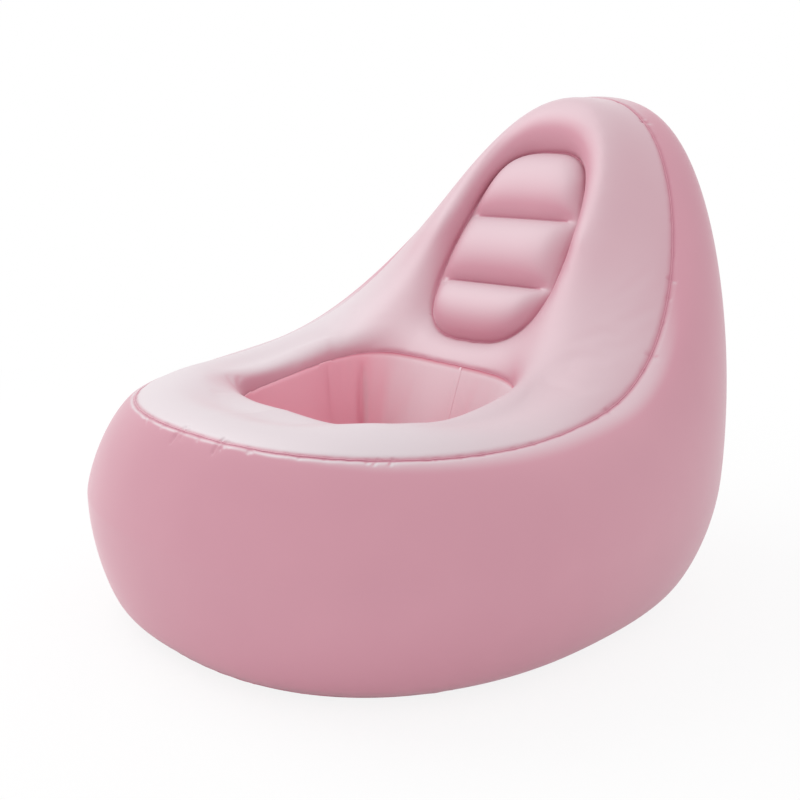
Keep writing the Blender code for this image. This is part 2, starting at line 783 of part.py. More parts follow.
def well_liner(material, collection):
    loft("well_liner", between_welds(liner_profiles()), True, material, collection)


def well_liner_closing_weld(material, collection):
    column = COLUMNS - RIM_FIRST_COLUMN + RIM_LAST_COLUMN + LINER_WELD_STEP
    rows = strip_rows(between_welds(liner_profiles()), column, STRIP_WIDTH)
    laid_strip("well_liner_closing_weld", rows, material, collection)


def base_panel(material, collection):
    """Sheet that lies flat on the floor and turns up to its outer and inner seams."""
    form = bmesh.new()
    centre = Vector((0, WAIST_Y + WELL_CENTRE_REACH, 0))
    outer = [base_ring(column_angle(column)) for column in range(COLUMNS)]
    inner = foot_loop()
    flats = []
    for seam, away in ((outer, -1), (inner, 1)):
        rows = []
        for share in BASE_TURN_SHARES:
            row = []
            for point in seam:
                out = (Vector((point.x, point.y, 0)) - centre).normalized() * away
                drop = BASE_SEAM_HEIGHT * (1 - share) ** 2
                flat = Vector((point.x, point.y, drop))
                row.append(flat + out * BASE_TURN_WIDTH * share)
            rows.append(row)
        rows[0] = drawn_in(rows[0], rows[1])
        flats.append(turned_up_edge(form, rows))
    zip_loops(form, *flats, centre)
    bmesh.ops.recalc_face_normals(form, faces=form.faces)
    if sum(face.normal.z for face in form.faces) > 0:
        bmesh.ops.reverse_faces(form, faces=form.faces)
    finished_sheet("base_panel", form, material, collection)


def turned_up_edge(form, rows):
    """Faces between the rows of one turned-up edge; the points of its flat side are returned."""
    grid = [[form.verts.new(point) for point in row] for row in rows]
    count = len(rows[0])
    for low, high in zip(grid, grid[1:]):
        for step in range(count):
            after = (step + 1) % count
            form.faces.new((low[step], low[after], high[after], high[step]))
    return grid[-1]


def zip_loops(form, outer, inner, centre):
    """Flat faces between two loops with unlike numbers of points, taken in order of direction."""
    def direction(spot):
        return math.atan2(spot.co.y - centre.y, spot.co.x - centre.x)

    outer, inner = sorted(outer, key=direction), sorted(inner, key=direction)
    out, into = 0, 0
    while out < len(outer) or into < len(inner):
        here, near = outer[out % len(outer)], inner[into % len(inner)]
        if into == len(inner) or out < len(outer) and out * len(inner) <= into * len(outer):
            out += 1
            form.faces.new((here, outer[out % len(outer)], near))
        else:
            into += 1
            form.faces.new((near, here, inner[into % len(inner)]))


def turned(name, profile, material, collection):
    """Piece turned about the valve's axis: a profile of radius and height above the wall."""
    mesh = bpy.data.meshes.new(name)
    spots = [(radius, 0, height) for radius, height in profile]
    closed = abs(profile[0][0]) > 0
    count = len(spots)
    links = [(step, (step + 1) % count) for step in range(count if closed else count - 1)]
    mesh.from_pydata(spots, links, [])
    made = new_object(name, mesh, material, collection)
    made.location = VALVE_SEAT
    made.rotation_euler = (-math.pi / 2, 0, 0)
    screw = made.modifiers.new("turn", "SCREW")
    screw.steps = TURNED_STEPS
    screw.render_steps = TURNED_STEPS
    screw.use_merge_vertices = True
    screw.merge_threshold = MERGE_DISTANCE
    screw.use_smooth_shade = True
    return made


def block(name, width, low, high, near, far, material, collection):
    """Box across the valve: its width, its lower and upper height and its depth from the wall."""
    mesh = bpy.data.meshes.new(name)
    form = bmesh.new()
    bmesh.ops.create_cube(form, size=1)
    bmesh.ops.scale(form, vec=(width, far - near, high - low), verts=form.verts)
    middle = Vector((0, (near + far) / 2, (low + high) / 2))
    bmesh.ops.translate(form, vec=VALVE_SEAT + middle, verts=form.verts)
    form.to_mesh(mesh)
    form.free()
    return new_object(name, mesh, material, collection)


def hinge_web(name, height, depth, radius, length, material, collection):
    """Thin bar of soft vinyl on a hinge line across the valve."""
    mesh = bpy.data.meshes.new(name)
    form = bmesh.new()
    bmesh.ops.create_cone(
        form, cap_ends=True, segments=WEB_SIDES, radius1=radius, radius2=radius, depth=length
    )
    form.to_mesh(mesh)
    form.free()
    web = new_object(name, mesh, material, collection)
    web.rotation_euler = (0, math.pi / 2, 0)
    web.location = VALVE_SEAT + Vector((0, depth, height))
    return web


def add_hinge(name, place, pieces, collection, carrier=None):
    """Empty on a joint's axis that carries its pieces, which stay where they are."""
    hinge = bpy.data.objects.new(name, None)
    hinge.location = place
    collection.objects.link(hinge)
    if carrier:
        hinge.parent = carrier
        hinge.matrix_parent_inverse = Matrix.Translation(-carrier.location)
    for piece in pieces:
        piece.parent = hinge
        piece.matrix_parent_inverse = Matrix.Translation(-place)
    return hinge


def cut(body, tool, operation):
    change = body.modifiers.new(tool.name, "BOOLEAN")
    change.operation = operation
    change.object = tool
    change.solver = "EXACT"


def valve_flange(material, collection, cutters):
    """Soft ring welded into the rear wall, with the neck that the collar plugs into."""
    half = FLANGE_THICKNESS / 2
    flange = turned(
        "valve_flange",
        (
            (NECK_BORE_RADIUS, NECK_OUTER_LENGTH),
            (NECK_RADIUS, NECK_OUTER_LENGTH),
            (NECK_RADIUS, half),
            (FLANGE_RADIUS, half),
            (FLANGE_RADIUS, -half),
            (NECK_RADIUS, -half),
            (NECK_RADIUS, -NECK_INNER_LENGTH),
            (NECK_BORE_RADIUS, -NECK_INNER_LENGTH),
        ),
        material,
        collection,
    )
    post = block(
        "flange_post",
        COLLAR_TAB_WIDTH,
        -(COLLAR_HINGE_REACH + COLLAR_RIM_THICKNESS),
        -(NECK_RADIUS - (NECK_RADIUS - NECK_BORE_RADIUS) / 2),
        0,
        NECK_OUTER_LENGTH,
        material,
        cutters,
    )
    cut(flange, post, "UNION")


def valve_collar(material, collection, cutters):
    """Tapered plug with a rim, a bore for a pump nozzle and a seat for the flap."""
    top_radius = NECK_BORE_RADIUS - CLEARANCE
    collar = turned(
        "valve_collar",
        (
            (COLLAR_BORE_RADIUS, RIM_OVER),
            (COLLAR_RIM_RADIUS, RIM_OVER),
            (COLLAR_RIM_RADIUS, RIM_UNDER),
            (top_radius, RIM_UNDER),
            (COLLAR_TIP_RADIUS, COLLAR_TIP),
            (SEAT_BORE_RADIUS, COLLAR_TIP),
            (SEAT_BORE_RADIUS, COLLAR_TIP + SEAT_THICKNESS),
            (COLLAR_BORE_RADIUS, COLLAR_TIP + SEAT_THICKNESS),
        ),
        material,
        collection,
    )
    tab = block(
        "collar_tab",
        COLLAR_TAB_WIDTH,
        -(COLLAR_HINGE_REACH - COLLAR_WEB_RADIUS - CLEARANCE),
        -(COLLAR_RIM_RADIUS - TAB_OVERLAP),
        RIM_UNDER,
        RIM_OVER,
        material,
        cutters,
    )
    cut(collar, tab, "UNION")
    return collar


def valve_cap(material, collection, cutters):
    """Round lid whose skirt plugs the collar's bore, with a tab to its hinge."""
    skirt_radius = COLLAR_BORE_RADIUS - CLEARANCE
    cap = turned(
        "valve_cap",
        (
            (0, CAP_UNDER + CAP_THICKNESS),
            (CAP_RADIUS, CAP_UNDER + CAP_THICKNESS),
            (CAP_RADIUS, CAP_UNDER),
            (skirt_radius, CAP_UNDER),
            (skirt_radius, CAP_UNDER - CAP_SKIRT_DEPTH),
            (skirt_radius - CAP_SKIRT_WALL, CAP_UNDER - CAP_SKIRT_DEPTH),
            (skirt_radius - CAP_SKIRT_WALL, CAP_UNDER),
            (0, CAP_UNDER),
        ),
        material,
        collection,
    )
    tab = block(
        "cap_tab",
        CAP_TAB_WIDTH,
        CAP_RADIUS - TAB_OVERLAP,
        CAP_HINGE_REACH - CAP_WEB_RADIUS - CLEARANCE,
        CAP_UNDER,
        CAP_UNDER + 2 * CAP_WEB_RADIUS,
        material,
        cutters,
    )
    cut(cap, tab, "UNION")
    return cap


def valve_flap(material, collection):
    """Thin disc that closes the collar's inner end and lets air in."""
    over = COLLAR_TIP - CLEARANCE
    return turned(
        "valve_flap",
        (
            (0, over),
            (FLAP_RADIUS, over),
            (FLAP_RADIUS, over - FLAP_THICKNESS),
            (0, over - FLAP_THICKNESS),
        ),
        material,
        collection,
    )


def linear(channel):
    return channel / 12.92 if channel <= 0.04045 else ((channel + 0.055) / 1.055) ** 2.4


def vinyl(name, colour, roughness, alpha=1):
    """Material of vinyl film or moulded vinyl, from an sRGB hex colour."""
    material = bpy.data.materials.new(name)
    material.use_nodes = True
    shader = material.node_tree.nodes["Principled BSDF"]
    channels = [int(colour[place : place + 2], 16) / 255 for place in (1, 3, 5)]
    shader.inputs["Base Color"].default_value = (*map(linear, channels), 1)
    shader.inputs["Roughness"].default_value = roughness
    shader.inputs["Metallic"].default_value = 0
    shader.inputs["Alpha"].default_value = alpha
    return material


def add_body(collection, cutters, film, bead):
    side_wall_panel(film, collection, cutters)
    side_wall_closing_weld(bead, collection)
    top_panel(film, collection)
    base_panel(film, collection)
    well_liner(film, collection)
    well_liner_closing_weld(bead, collection)
    angles = [column_angle(column) for column in range(COLUMNS)]
    weld_bead("top_seam_weld", [top_ring(angle) for angle in angles], bead, collection)
    weld_bead("base_seam_weld", [base_ring(angle) for angle in angles], bead, collection)
    weld_bead("rim_seam_weld", rim_loop(), bead, collection)
    weld_bead("well_foot_weld", foot_loop(), bead, collection)


def add_pad(collection, film, bead, inner_film):
    back_pad_panel(film, collection)
    pad_backing_sheet(inner_film, collection)
    outline = [pad_point(across, along) for across, along in pad_outline()]
    weld_bead("pad_border_weld", outline, bead, collection)
    rib_weld("upper_rib_weld", UPPER_RIB_WELD, bead, collection)
    rib_weld("lower_rib_weld", LOWER_RIB_WELD, bead, collection)


def add_valve(collection, cutters, moulded, flap_film):
    valve_flange(moulded, collection, cutters)
    collar = valve_collar(moulded, collection, cutters)
    cap = valve_cap(moulded, collection, cutters)
    flap = valve_flap(flap_film, collection)
    hinge_web(
        "collar_hinge_web", -COLLAR_HINGE_REACH, COLLAR_HINGE_DEPTH,
        COLLAR_WEB_RADIUS, COLLAR_TAB_WIDTH, moulded, collection,
    )
    cap_web = hinge_web(
        "cap_hinge_web", CAP_HINGE_REACH, CAP_HINGE_DEPTH,
        CAP_WEB_RADIUS, CAP_TAB_WIDTH, moulded, collection,
    )
    flap_web = hinge_web(
        "flap_hinge_web", FLAP_HINGE_HEIGHT, FLAP_HINGE_DEPTH,
        FLAP_WEB_RADIUS, FLAP_WEB_LENGTH, flap_film, collection,
    )
    collar_place = VALVE_SEAT + Vector((0, COLLAR_HINGE_DEPTH, -COLLAR_HINGE_REACH))
    collar_hinge = add_hinge(
        "collar_hinge", collar_place, (collar, cap_web, flap_web), collection
    )
    cap_place = VALVE_SEAT + Vector((0, CAP_HINGE_DEPTH, CAP_HINGE_REACH))
    add_hinge("cap_hinge", cap_place, (cap,), collection, collar_hinge)
    flap_place = VALVE_SEAT + Vector((0, FLAP_HINGE_DEPTH, FLAP_HINGE_HEIGHT))
    add_hinge("flap_hinge", flap_place, (flap,), collection, collar_hinge)


def main():
    for old in list(bpy.data.objects):
        bpy.data.objects.remove(old, do_unlink=True)
    chair = bpy.data.collections.new("inflatable_recovery_chair")
    cutters = bpy.data.collections.new("cutters")
    for collection in (chair, cutters):
        bpy.context.scene.collection.children.link(collection)
    film = vinyl("pink_vinyl_film", "#D79DAB", 0.45)
    bead = vinyl("pink_vinyl_weld", "#CF93A2", 0.4)
    inner_film = vinyl("clear_vinyl_film", "#D8C4CA", 0.35)
    moulded = vinyl("moulded_vinyl", "#E3C9D0", 0.4)
    add_body(chair, cutters, film, bead)
    add_pad(chair, film, bead, inner_film)
    add_valve(chair, cutters, moulded, inner_film)
    for tool in cutters.objects:
        tool.hide_render = True
        tool.display_type = "WIRE"


main()
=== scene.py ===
"""Inflatable recovery chair in soft pink vinyl film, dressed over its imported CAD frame.

Metres, +Z up. The chair's front faces -Y and X runs across it. Each film panel starts as the
visible skin of its CAD node, is divided finely, inflated by a cloth simulation between its welds
and then given the grooves, creases and puckers that welded film has.
"""

import logging
import math
from contextlib import contextmanager
from dataclasses import dataclass, field
from enum import Enum
from functools import cache
from typing import Callable, Iterator, Sequence

import bmesh
import bpy
from mathutils import Matrix, Vector
from mathutils.bvhtree import BVHTree
from mathutils.kdtree import KDTree
from mathutils.noise import noise


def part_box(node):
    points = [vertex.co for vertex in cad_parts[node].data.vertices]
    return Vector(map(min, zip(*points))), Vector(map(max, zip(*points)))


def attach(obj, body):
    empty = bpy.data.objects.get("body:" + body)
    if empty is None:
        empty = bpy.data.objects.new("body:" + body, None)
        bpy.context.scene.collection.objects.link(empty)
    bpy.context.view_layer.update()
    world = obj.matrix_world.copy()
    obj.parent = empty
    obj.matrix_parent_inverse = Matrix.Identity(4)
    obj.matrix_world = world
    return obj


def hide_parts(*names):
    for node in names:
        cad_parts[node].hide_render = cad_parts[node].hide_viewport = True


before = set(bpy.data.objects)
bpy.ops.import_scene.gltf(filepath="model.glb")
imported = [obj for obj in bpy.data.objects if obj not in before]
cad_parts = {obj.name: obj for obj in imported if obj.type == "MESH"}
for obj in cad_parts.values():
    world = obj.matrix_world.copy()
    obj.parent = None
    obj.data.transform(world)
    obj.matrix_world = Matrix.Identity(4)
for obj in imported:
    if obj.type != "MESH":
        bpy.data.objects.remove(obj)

logging.basicConfig(level=logging.INFO, format="%(message)s")
log = logging.getLogger("recovery_chair")

MILLIMETRE = 0.001
FILM = 0.4 * MILLIMETRE
UP = Vector((0, 0, 1))


class Body(Enum):
    """The CAD bodies that new pieces ride on. The valve's CAD pieces ride on their own."""

    CHAIR = "chair_body"


class Slot(Enum):
    """The record's material slots for new pieces."""

    FILM = "pink_vinyl_film"
    WELD = "pink_vinyl_weld"


# Materials

SHEEN_ROUGHNESS = 0.35
SATIN_VARIES = 0.05
MELTED_SMOOTHER = 0.12


def linear(colour: str) -> tuple[float, float, float, float]:
    """Turn an sRGB hex colour into linear channels.

    Args:
        colour: The colour as "#RRGGBB".

    Returns:
        Red, green and blue as linear values, and an alpha of 1.
    """
    channels = [int(colour[place : place + 2], 16) / 255 for place in (1, 3, 5)]
    red, green, blue = (
        channel / 12.92 if channel <= 0.04045 else ((channel + 0.055) / 1.055) ** 2.4
        for channel in channels
    )
    return red, green, blue, 1.0


def add_node(
    tree: bpy.types.NodeTree,
    kind: str,
    settings: dict[str, object] | None = None,
    values: dict[str | int, object] | None = None,
    links: dict[str | int, bpy.types.NodeSocket] | None = None,
) -> bpy.types.Node:
    """Add one node to a tree.

    Args:
        tree: The node tree.
        kind: Blender's name for the node's type.
        settings: The node's own properties.
        values: Values for inputs, by name or number, that nothing is linked to.
        links: Sockets to link to inputs, by name or number.

    Returns:
        The new node.
    """
    node = tree.nodes.new(kind)
    for name, value in (settings or {}).items():
        setattr(node, name, value)
    for place, value in (values or {}).items():
        node.inputs[place].default_value = value
    for place, socket in (links or {}).items():
        tree.links.new(socket, node.inputs[place])
    return node


@dataclass(frozen=True)
class VinylFinish:
    """Soft PVC: calendered film, or the same compound welded or moulded.

    Calendering between steel rolls leaves a fine even grain, so the film is satin: it has a
    broad highlight and goes pale where it is seen at a low angle. A paler colour is painted on
    film that faces the lamp's way, as painted light. Beside a weld the heat has drawn the film
    thin, which makes it a little deeper in colour and glossier; the same deeper colour is painted
    in the liner's folds as painted shade.
    """

    name: str
    colour: str
    deep_colour: str
    weld_tint_and_fold_shade_colour: str
    painted_light_colour: str
    roughness: float
    grain_mm: float
    grain_depth_mm: float
    cloud_mm: float
    specular: float = 0.5
    sheen: float = 0.0
    ior: float = 1.53

    def material(self) -> bpy.types.Material:
        """Build the node material.

        Returns:
            The material, which reads Object coordinates in metres.
        """
        made = bpy.data.materials.new(self.name)
        made.use_nodes = True
        tree = made.node_tree
        shader = tree.nodes["Principled BSDF"]
        place = add_node(tree, "ShaderNodeTexCoord").outputs["Object"]
        near, painted_light = (
            add_node(tree, "ShaderNodeAttribute", {"attribute_name": name}).outputs["Fac"]
            for name in ("weld_tint_and_fold_shade", "painted_light")
        )
        cloud, grain = (
            add_node(
                tree, "ShaderNodeTexNoise", None,
                {"Scale": 1 / (size * MILLIMETRE), "Detail": detail}, {"Vector": place},
            ).outputs["Fac"]
            for size, detail in ((self.cloud_mm, 2.0), (self.grain_mm, 3.0))
        )
        tint = add_node(
            tree, "ShaderNodeMix", {"data_type": "RGBA"},
            {6: linear(self.colour), 7: linear(self.deep_colour)}, {0: cloud},
        ).outputs[2]
        # Painted light on what faces the lamp, then the weld's deeper tint, which in the liner's
        # folds is painted shade.
        for share, over in ((painted_light, self.painted_light_colour), (near, self.weld_tint_and_fold_shade_colour)):
            tint = add_node(
                tree, "ShaderNodeMix", {"data_type": "RGBA"},
                {7: linear(over)}, {0: share, 6: tint},
            ).outputs[2]
        satin = add_node(
            tree, "ShaderNodeMapRange", None,
            {
                "To Min": self.roughness - SATIN_VARIES,
                "To Max": self.roughness + SATIN_VARIES,
            },
            {"Value": cloud},
        ).outputs["Result"]
        gloss = add_node(
            tree, "ShaderNodeMix", {"data_type": "FLOAT"},
            {3: self.roughness - MELTED_SMOOTHER}, {0: near, 2: satin},
        ).outputs[0]
        bump = add_node(
            tree, "ShaderNodeBump", None,
            {"Strength": 1.0, "Distance": self.grain_depth_mm * MILLIMETRE}, {"Height": grain},
        ).outputs["Normal"]
        for socket, source in (("Base Color", tint), ("Roughness", gloss), ("Normal", bump)):
            tree.links.new(source, shader.inputs[socket])
        for socket, value in (
            ("Metallic", 0.0),
            ("IOR", self.ior),
            ("Specular IOR Level", self.specular),
            ("Sheen Weight", self.sheen),
            ("Sheen Roughness", SHEEN_ROUGHNESS),
        ):
            shader.inputs[socket].default_value = value
        return made


# The wall's film. Its grain is drawn at 2 mm so that it shows: the real one is about 0.5 mm.
# Its last colour is painted light, for film that faces the lamp.
WALL_FILM = VinylFinish(
    "calendered_pink_pvc_film", "#D596A6", "#CD8E9F", "#C4778C", "#DDD0D5", 0.46, 2.0, 0.02, 160,
    specular=0.8, sheen=0.4,
)
# The well's liner shows a fuller pink than the wall in the photograph.
# Its last colour is painted light, for liner film that faces the well's mouth; its weld colour is
# also painted shade in the folds.
LINER_FILM = VinylFinish(
    "calendered_bright_pink_pvc_film", "#F6B0C0", "#F0A6B7", "#D05F7B", "#E9D5DB", 0.46, 2.0, 0.02,
    160, specular=0.8, sheen=0.4,
)
# The base is cut from the wall's film, painted deeper as painted shade because it faces down. It
# gets no painted light.
BASE_FILM = VinylFinish(
    "calendered_rose_pvc_film", "#C77F91", "#BF7588", "#B46A7E", "#C77F91", 0.46, 2.0, 0.02, 160,
    specular=0.8, sheen=0.3,
)
# Welding melts the grain flat, which leaves the edge glossier and a little deeper in colour.
# Its last colour is painted light, for beads that face the lamp.
WELD_EDGE = VinylFinish(
    "heat_welded_pink_pvc", "#CF8599", "#C67A8F", "#C67A8F", "#DBA3B2", 0.36, 3.0, 0.02, 40,
    specular=0.8, sheen=0.3,
)
# The sheet inside the pad and the valve's flap are unpigmented film.
CLEAR_FILM = VinylFinish(
    "natural_pvc_film", "#E0CDD2", "#D8C2C9", "#D8C2C9", "#E0CDD2", 0.32, 2.0, 0.02, 60
)
# Injection-moulded soft PVC is smooth from the mould, which gives it a tight highlight.
MOULDED = VinylFinish(
    "moulded_soft_pvc", "#E3C6CD", "#DDBDC6", "#DDBDC6", "#E3C6CD", 0.3, 1.5, 0.01, 20
)


# Shaping tools

SAME_SPOT = 0.02 * MILLIMETRE
# A CAD sheet's rim faces have an edge as short as the film is thick.
RIM_EDGE = 1.6 * FILM
# In radians: how flat and how square two triangles have to be to become a quad.
FLAT_WITHIN = 1.2
SQUARE_WITHIN = 3.1


def smoothstep(low: float, high: float, value: float) -> float:
    """Ease from 0 at low to 1 at high."""
    share = min(max((value - low) / (high - low), 0.0), 1.0)
    return share * share * (3 - 2 * share)


@contextmanager
def edited(mesh: bpy.types.Mesh) -> Iterator[bmesh.types.BMesh]:
    """Open a mesh as a bmesh, and write it back smooth-shaded at the end.

    Args:
        mesh: The mesh to change.

    Yields:
        The bmesh, which is freed afterwards.
    """
    form = bmesh.new()
    form.from_mesh(mesh)
    yield form
    form.to_mesh(mesh)
    form.free()
    mesh.shade_smooth()


def relax(form: bmesh.types.BMesh, spots: list[bmesh.types.BMVert], passes: int) -> None:
    """Smooth some vertices a number of times."""
    for _ in range(passes):
        bmesh.ops.smooth_vert(
            form, verts=spots, factor=0.5, use_axis_x=True, use_axis_y=True, use_axis_z=True
        )


def visible_skin(node: str, outward: Callable[[Vector], Vector]) -> bmesh.types.BMesh:
    """Take the visible face of a CAD film panel as quads.

    Args:
        node: The CAD node, a sheet with the film's thickness.
        outward: Gives the way out of the chair at a point of the panel.

    Returns:
        A new bmesh of the outer surface alone.
    """
    form = bmesh.new()
    form.from_mesh(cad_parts[node].data)
    bmesh.ops.remove_doubles(form, verts=form.verts, dist=SAME_SPOT)
    rim = [
        face for face in form.faces if min(edge.calc_length() for edge in face.edges) < RIM_EDGE
    ]
    bmesh.ops.delete(form, geom=rim, context="FACES")
    shells, left = [], set(form.faces)
    while left:
        shell, reached = [], [left.pop()]
        while reached:
            face = reached.pop()
            shell.append(face)
            near = {other for edge in face.edges for other in edge.link_faces} & left
            left -= near
            reached.extend(near)
        shells.append(shell)

    def facing_out(shell: list[bmesh.types.BMFace]) -> float:
        """Area of a shell that faces outwards, less what faces inwards."""
        return sum(
            face.calc_area() * face.normal.dot(outward(face.calc_center_median()))
            for face in shell
        )

    kept = max(shells, key=facing_out)
    hidden = [face for shell in shells if shell is not kept for face in shell]
    bmesh.ops.delete(form, geom=hidden, context="FACES")
    diagonals = [
        edge
        for edge in form.edges
        if len(edge.link_faces) == 2
        and all(
            len(face.edges) == 3
            and edge.calc_length() >= max(other.calc_length() for other in face.edges) - 1e-7
            for face in edge.link_faces
        )
    ]
    bmesh.ops.dissolve_edges(form, edges=diagonals, use_verts=False)
    triangles = [face for face in form.faces if len(face.verts) == 3]
    bmesh.ops.join_triangles(
        form, faces=triangles, angle_face_threshold=FLAT_WITHIN,
        angle_shape_threshold=SQUARE_WITHIN, topology_influence=2.0,
    )
    return form


def put(name: str, data: bpy.types.ID) -> bpy.types.Object:
    """Make an object in the scene from its data."""
    made = bpy.data.objects.new(name, data)
    bpy.context.scene.collection.objects.link(made)
    return made


def as_object(name: str, form: bmesh.types.BMesh) -> bpy.types.Object:
    """Make a smooth-shaded object at the origin from a bmesh, which is freed."""
    mesh = bpy.data.meshes.new(name)
    form.to_mesh(mesh)
    form.free()
    mesh.shade_smooth()
    return put(name, mesh)


def apply_modifiers(piece: bpy.types.Object) -> None:
    """Replace a piece's mesh with what its modifiers make of it."""
    bpy.context.view_layer.update()
    graph = bpy.context.evaluated_depsgraph_get()
    old = piece.data
    piece.data = bpy.data.meshes.new_from_object(piece.evaluated_get(graph))
    piece.modifiers.clear()
    name = old.name
    bpy.data.meshes.remove(old)
    piece.data.name = name


def subdivide(piece: bpy.types.Object, levels: int) -> None:
    """Divide a piece smoothly and keep the result."""
    change = piece.modifiers.new("fine", "SUBSURF")
    change.levels = change.render_levels = levels
    apply_modifiers(piece)


def edge_loops(mesh: bpy.types.Mesh) -> list[list[int]]:
    """Find the open edges of a mesh.

    Args:
        mesh: The mesh.

    Returns:
        Each open edge as vertex numbers in order: the longest first, and the higher of two
        that are as long.
    """
    form = bmesh.new()
    form.from_mesh(mesh)
    left = {edge.index: edge for edge in form.edges if edge.is_boundary}
    loops = []
    while left:
        first, spot = left.pop(min(left)).verts
        loop = [first]
        while spot is not first:
            loop.append(spot)
            after = next(other for other in spot.link_edges if other.index in left)
            del left[after.index]
            spot = after.other_vert(spot)
        loops.append(loop)
    loops.sort(key=lambda loop: (-len(loop), -sum(spot.co.z for spot in loop)))
    found = [[spot.index for spot in loop] for loop in loops]
    form.free()
    return found


def tree_of(points: Sequence[Vector]) -> KDTree:
    """Make a search tree of points."""
    tree = KDTree(len(points))
    for index, point in enumerate(points):
        tree.insert(point, index)
    tree.balance()
    return tree


def places_of(mesh: bpy.types.Mesh, indices: Sequence[int]) -> list[Vector]:
    """Where some vertices of a mesh are."""
    return [mesh.vertices[index].co.copy() for index in indices]


def surface_of(piece: bpy.types.Object) -> BVHTree:
    """Make a search tree of a piece's faces."""
    mesh = piece.data
    return BVHTree.FromPolygons(
        [vertex.co for vertex in mesh.vertices], [face.vertices for face in mesh.polygons]
    )


def rounded(
    name: str, path: Sequence[Vector], radii: Sequence[float], closed: bool
) -> bpy.types.Object:
    """Make a round bead along a path.

    Args:
        name: The piece's name.
        path: The points that the bead follows.
        radii: Its radius in metres at each point.
        closed: Whether the path runs round on itself.

    Returns:
        The bead as a mesh object at the origin.
    """
    curve = bpy.data.curves.new(name, "CURVE")
    curve.dimensions = "3D"
    curve.bevel_depth = MILLIMETRE
    curve.bevel_resolution = 2
    curve.use_fill_caps = not closed
    line = curve.splines.new("POLY")
    line.points.add(len(path) - 1)
    for spot, point, radius in zip(line.points, path, radii):
        spot.co = (*point, 1.0)
        spot.radius = radius / MILLIMETRE
    line.use_cyclic_u = closed
    guide = put(name + "_guide", curve)
    bpy.context.view_layer.update()
    graph = bpy.context.evaluated_depsgraph_get()
    form = bmesh.new()
    form.from_mesh(guide.evaluated_get(graph).to_mesh())
    bpy.data.objects.remove(guide)
    bmesh.ops.remove_doubles(form, verts=form.verts, dist=SAME_SPOT / 2)
    return as_object(name, form)


def paint(mesh: bpy.types.Mesh, material: bpy.types.Material) -> None:
    """Make a material the mesh's only one."""
    mesh.materials.clear()
    mesh.materials.append(material)


def dress(
    piece: bpy.types.Object,
    body: Body,
    material: bpy.types.Material,
    replaces: Sequence[str] = (),
) -> None:
    """Give a piece its material and body, and hide the CAD nodes that it stands for.

    Args:
        piece: The finished piece.
        body: The body that it rides on.
        material: Its node material.
        replaces: The CAD nodes that it stands for.
    """
    paint(piece.data, material)
    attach(piece, body.value)
    if replaces:
        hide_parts(*replaces)
    log.info("%s on %s, %d faces", piece.name, body.value, len(piece.data.polygons))


@dataclass(frozen=True)
class Inflation:
    """How a panel is blown up between its welds, and how far it may move."""

    pressure: float
    limit: float
    frames: int = 14
    quality: int = 5
    mass: float = 0.3
    stiffness: float = 30.0
    bending: float = 1.0
    damping: float = 5.0

    def blow(self, piece: bpy.types.Object, held: Sequence[int]) -> None:
        """Inflate a film panel between its held vertices and keep the result."""
        rest = [vertex.co.copy() for vertex in piece.data.vertices]
        pins = piece.vertex_groups.new(name="welded")
        pins.add(list(held), 1.0, "REPLACE")
        change = piece.modifiers.new("inflate", "CLOTH")
        cloth = change.settings
        cloth.quality = self.quality
        cloth.mass = self.mass
        cloth.tension_stiffness = cloth.compression_stiffness = self.stiffness
        cloth.shear_stiffness = self.stiffness
        cloth.bending_stiffness = self.bending
        cloth.air_damping = self.damping
        cloth.use_pressure = True
        cloth.uniform_pressure_force = self.pressure
        cloth.vertex_group_mass = pins.name
        cloth.effector_weights.gravity = 0.0
        change.point_cache.frame_start = 1
        change.point_cache.frame_end = self.frames
        scene = bpy.context.scene
        for number in range(1, self.frames + 1):
            scene.frame_set(number)
        apply_modifiers(piece)
        scene.frame_set(1)
        piece.vertex_groups.clear()
        farthest = 0.0
        for vertex, before in zip(piece.data.vertices, rest):
            moved = vertex.co - before
            farthest = max(farthest, moved.length)
            if moved.length > 0:
                keep = math.tanh(moved.length / self.limit) * self.limit / moved.length
                vertex.co = before + moved * keep
        log.info("%s would move %.1f mm, kept to %.1f mm",
                 piece.name, farthest / MILLIMETRE, self.limit / MILLIMETRE)


@dataclass(frozen=True)
class Crease:
    """A fold pressed into film along a short line, with the film heaped up beside it.

    Its swell fades out at both ends, as half a sine wave does from a share near 0 to one near 1.
    """

    start: Vector
    end: Vector
    depth: float
    width: float
    heap: float = 0.35
    swell_from: float = 0.02
    swell_over: float = 0.9
    swell_power: float = 0.7

    def swell(self, share: float) -> float:
        """How strong the fold is at a share of the way along it."""
        return math.sin(math.pi * (self.swell_from + self.swell_over * share))

    def reach(self, point: Vector) -> tuple[float, float]:
        """Distance of a point from the fold, and its share of the way along it."""
        line = self.end - self.start
        share = min(max((point - self.start).dot(line) / line.length_squared, 0.0), 1.0)
        return (point - self.start - line * share).length, share

    def offset(self, point: Vector) -> float:
        """How far film at a point moves out along its normal."""
        away, share = self.reach(point)
        spread = away / self.width
        rise = self.heap * spread**2 * math.exp(-(spread**2))
        return self.depth * self.swell(share) ** self.swell_power * (rise - math.exp(-spread))


# In widths of a crease: how far round it a panel is cut finer, and how far it moves.
CREASE_CUT = 2.2
CREASE_REACH = 4.0


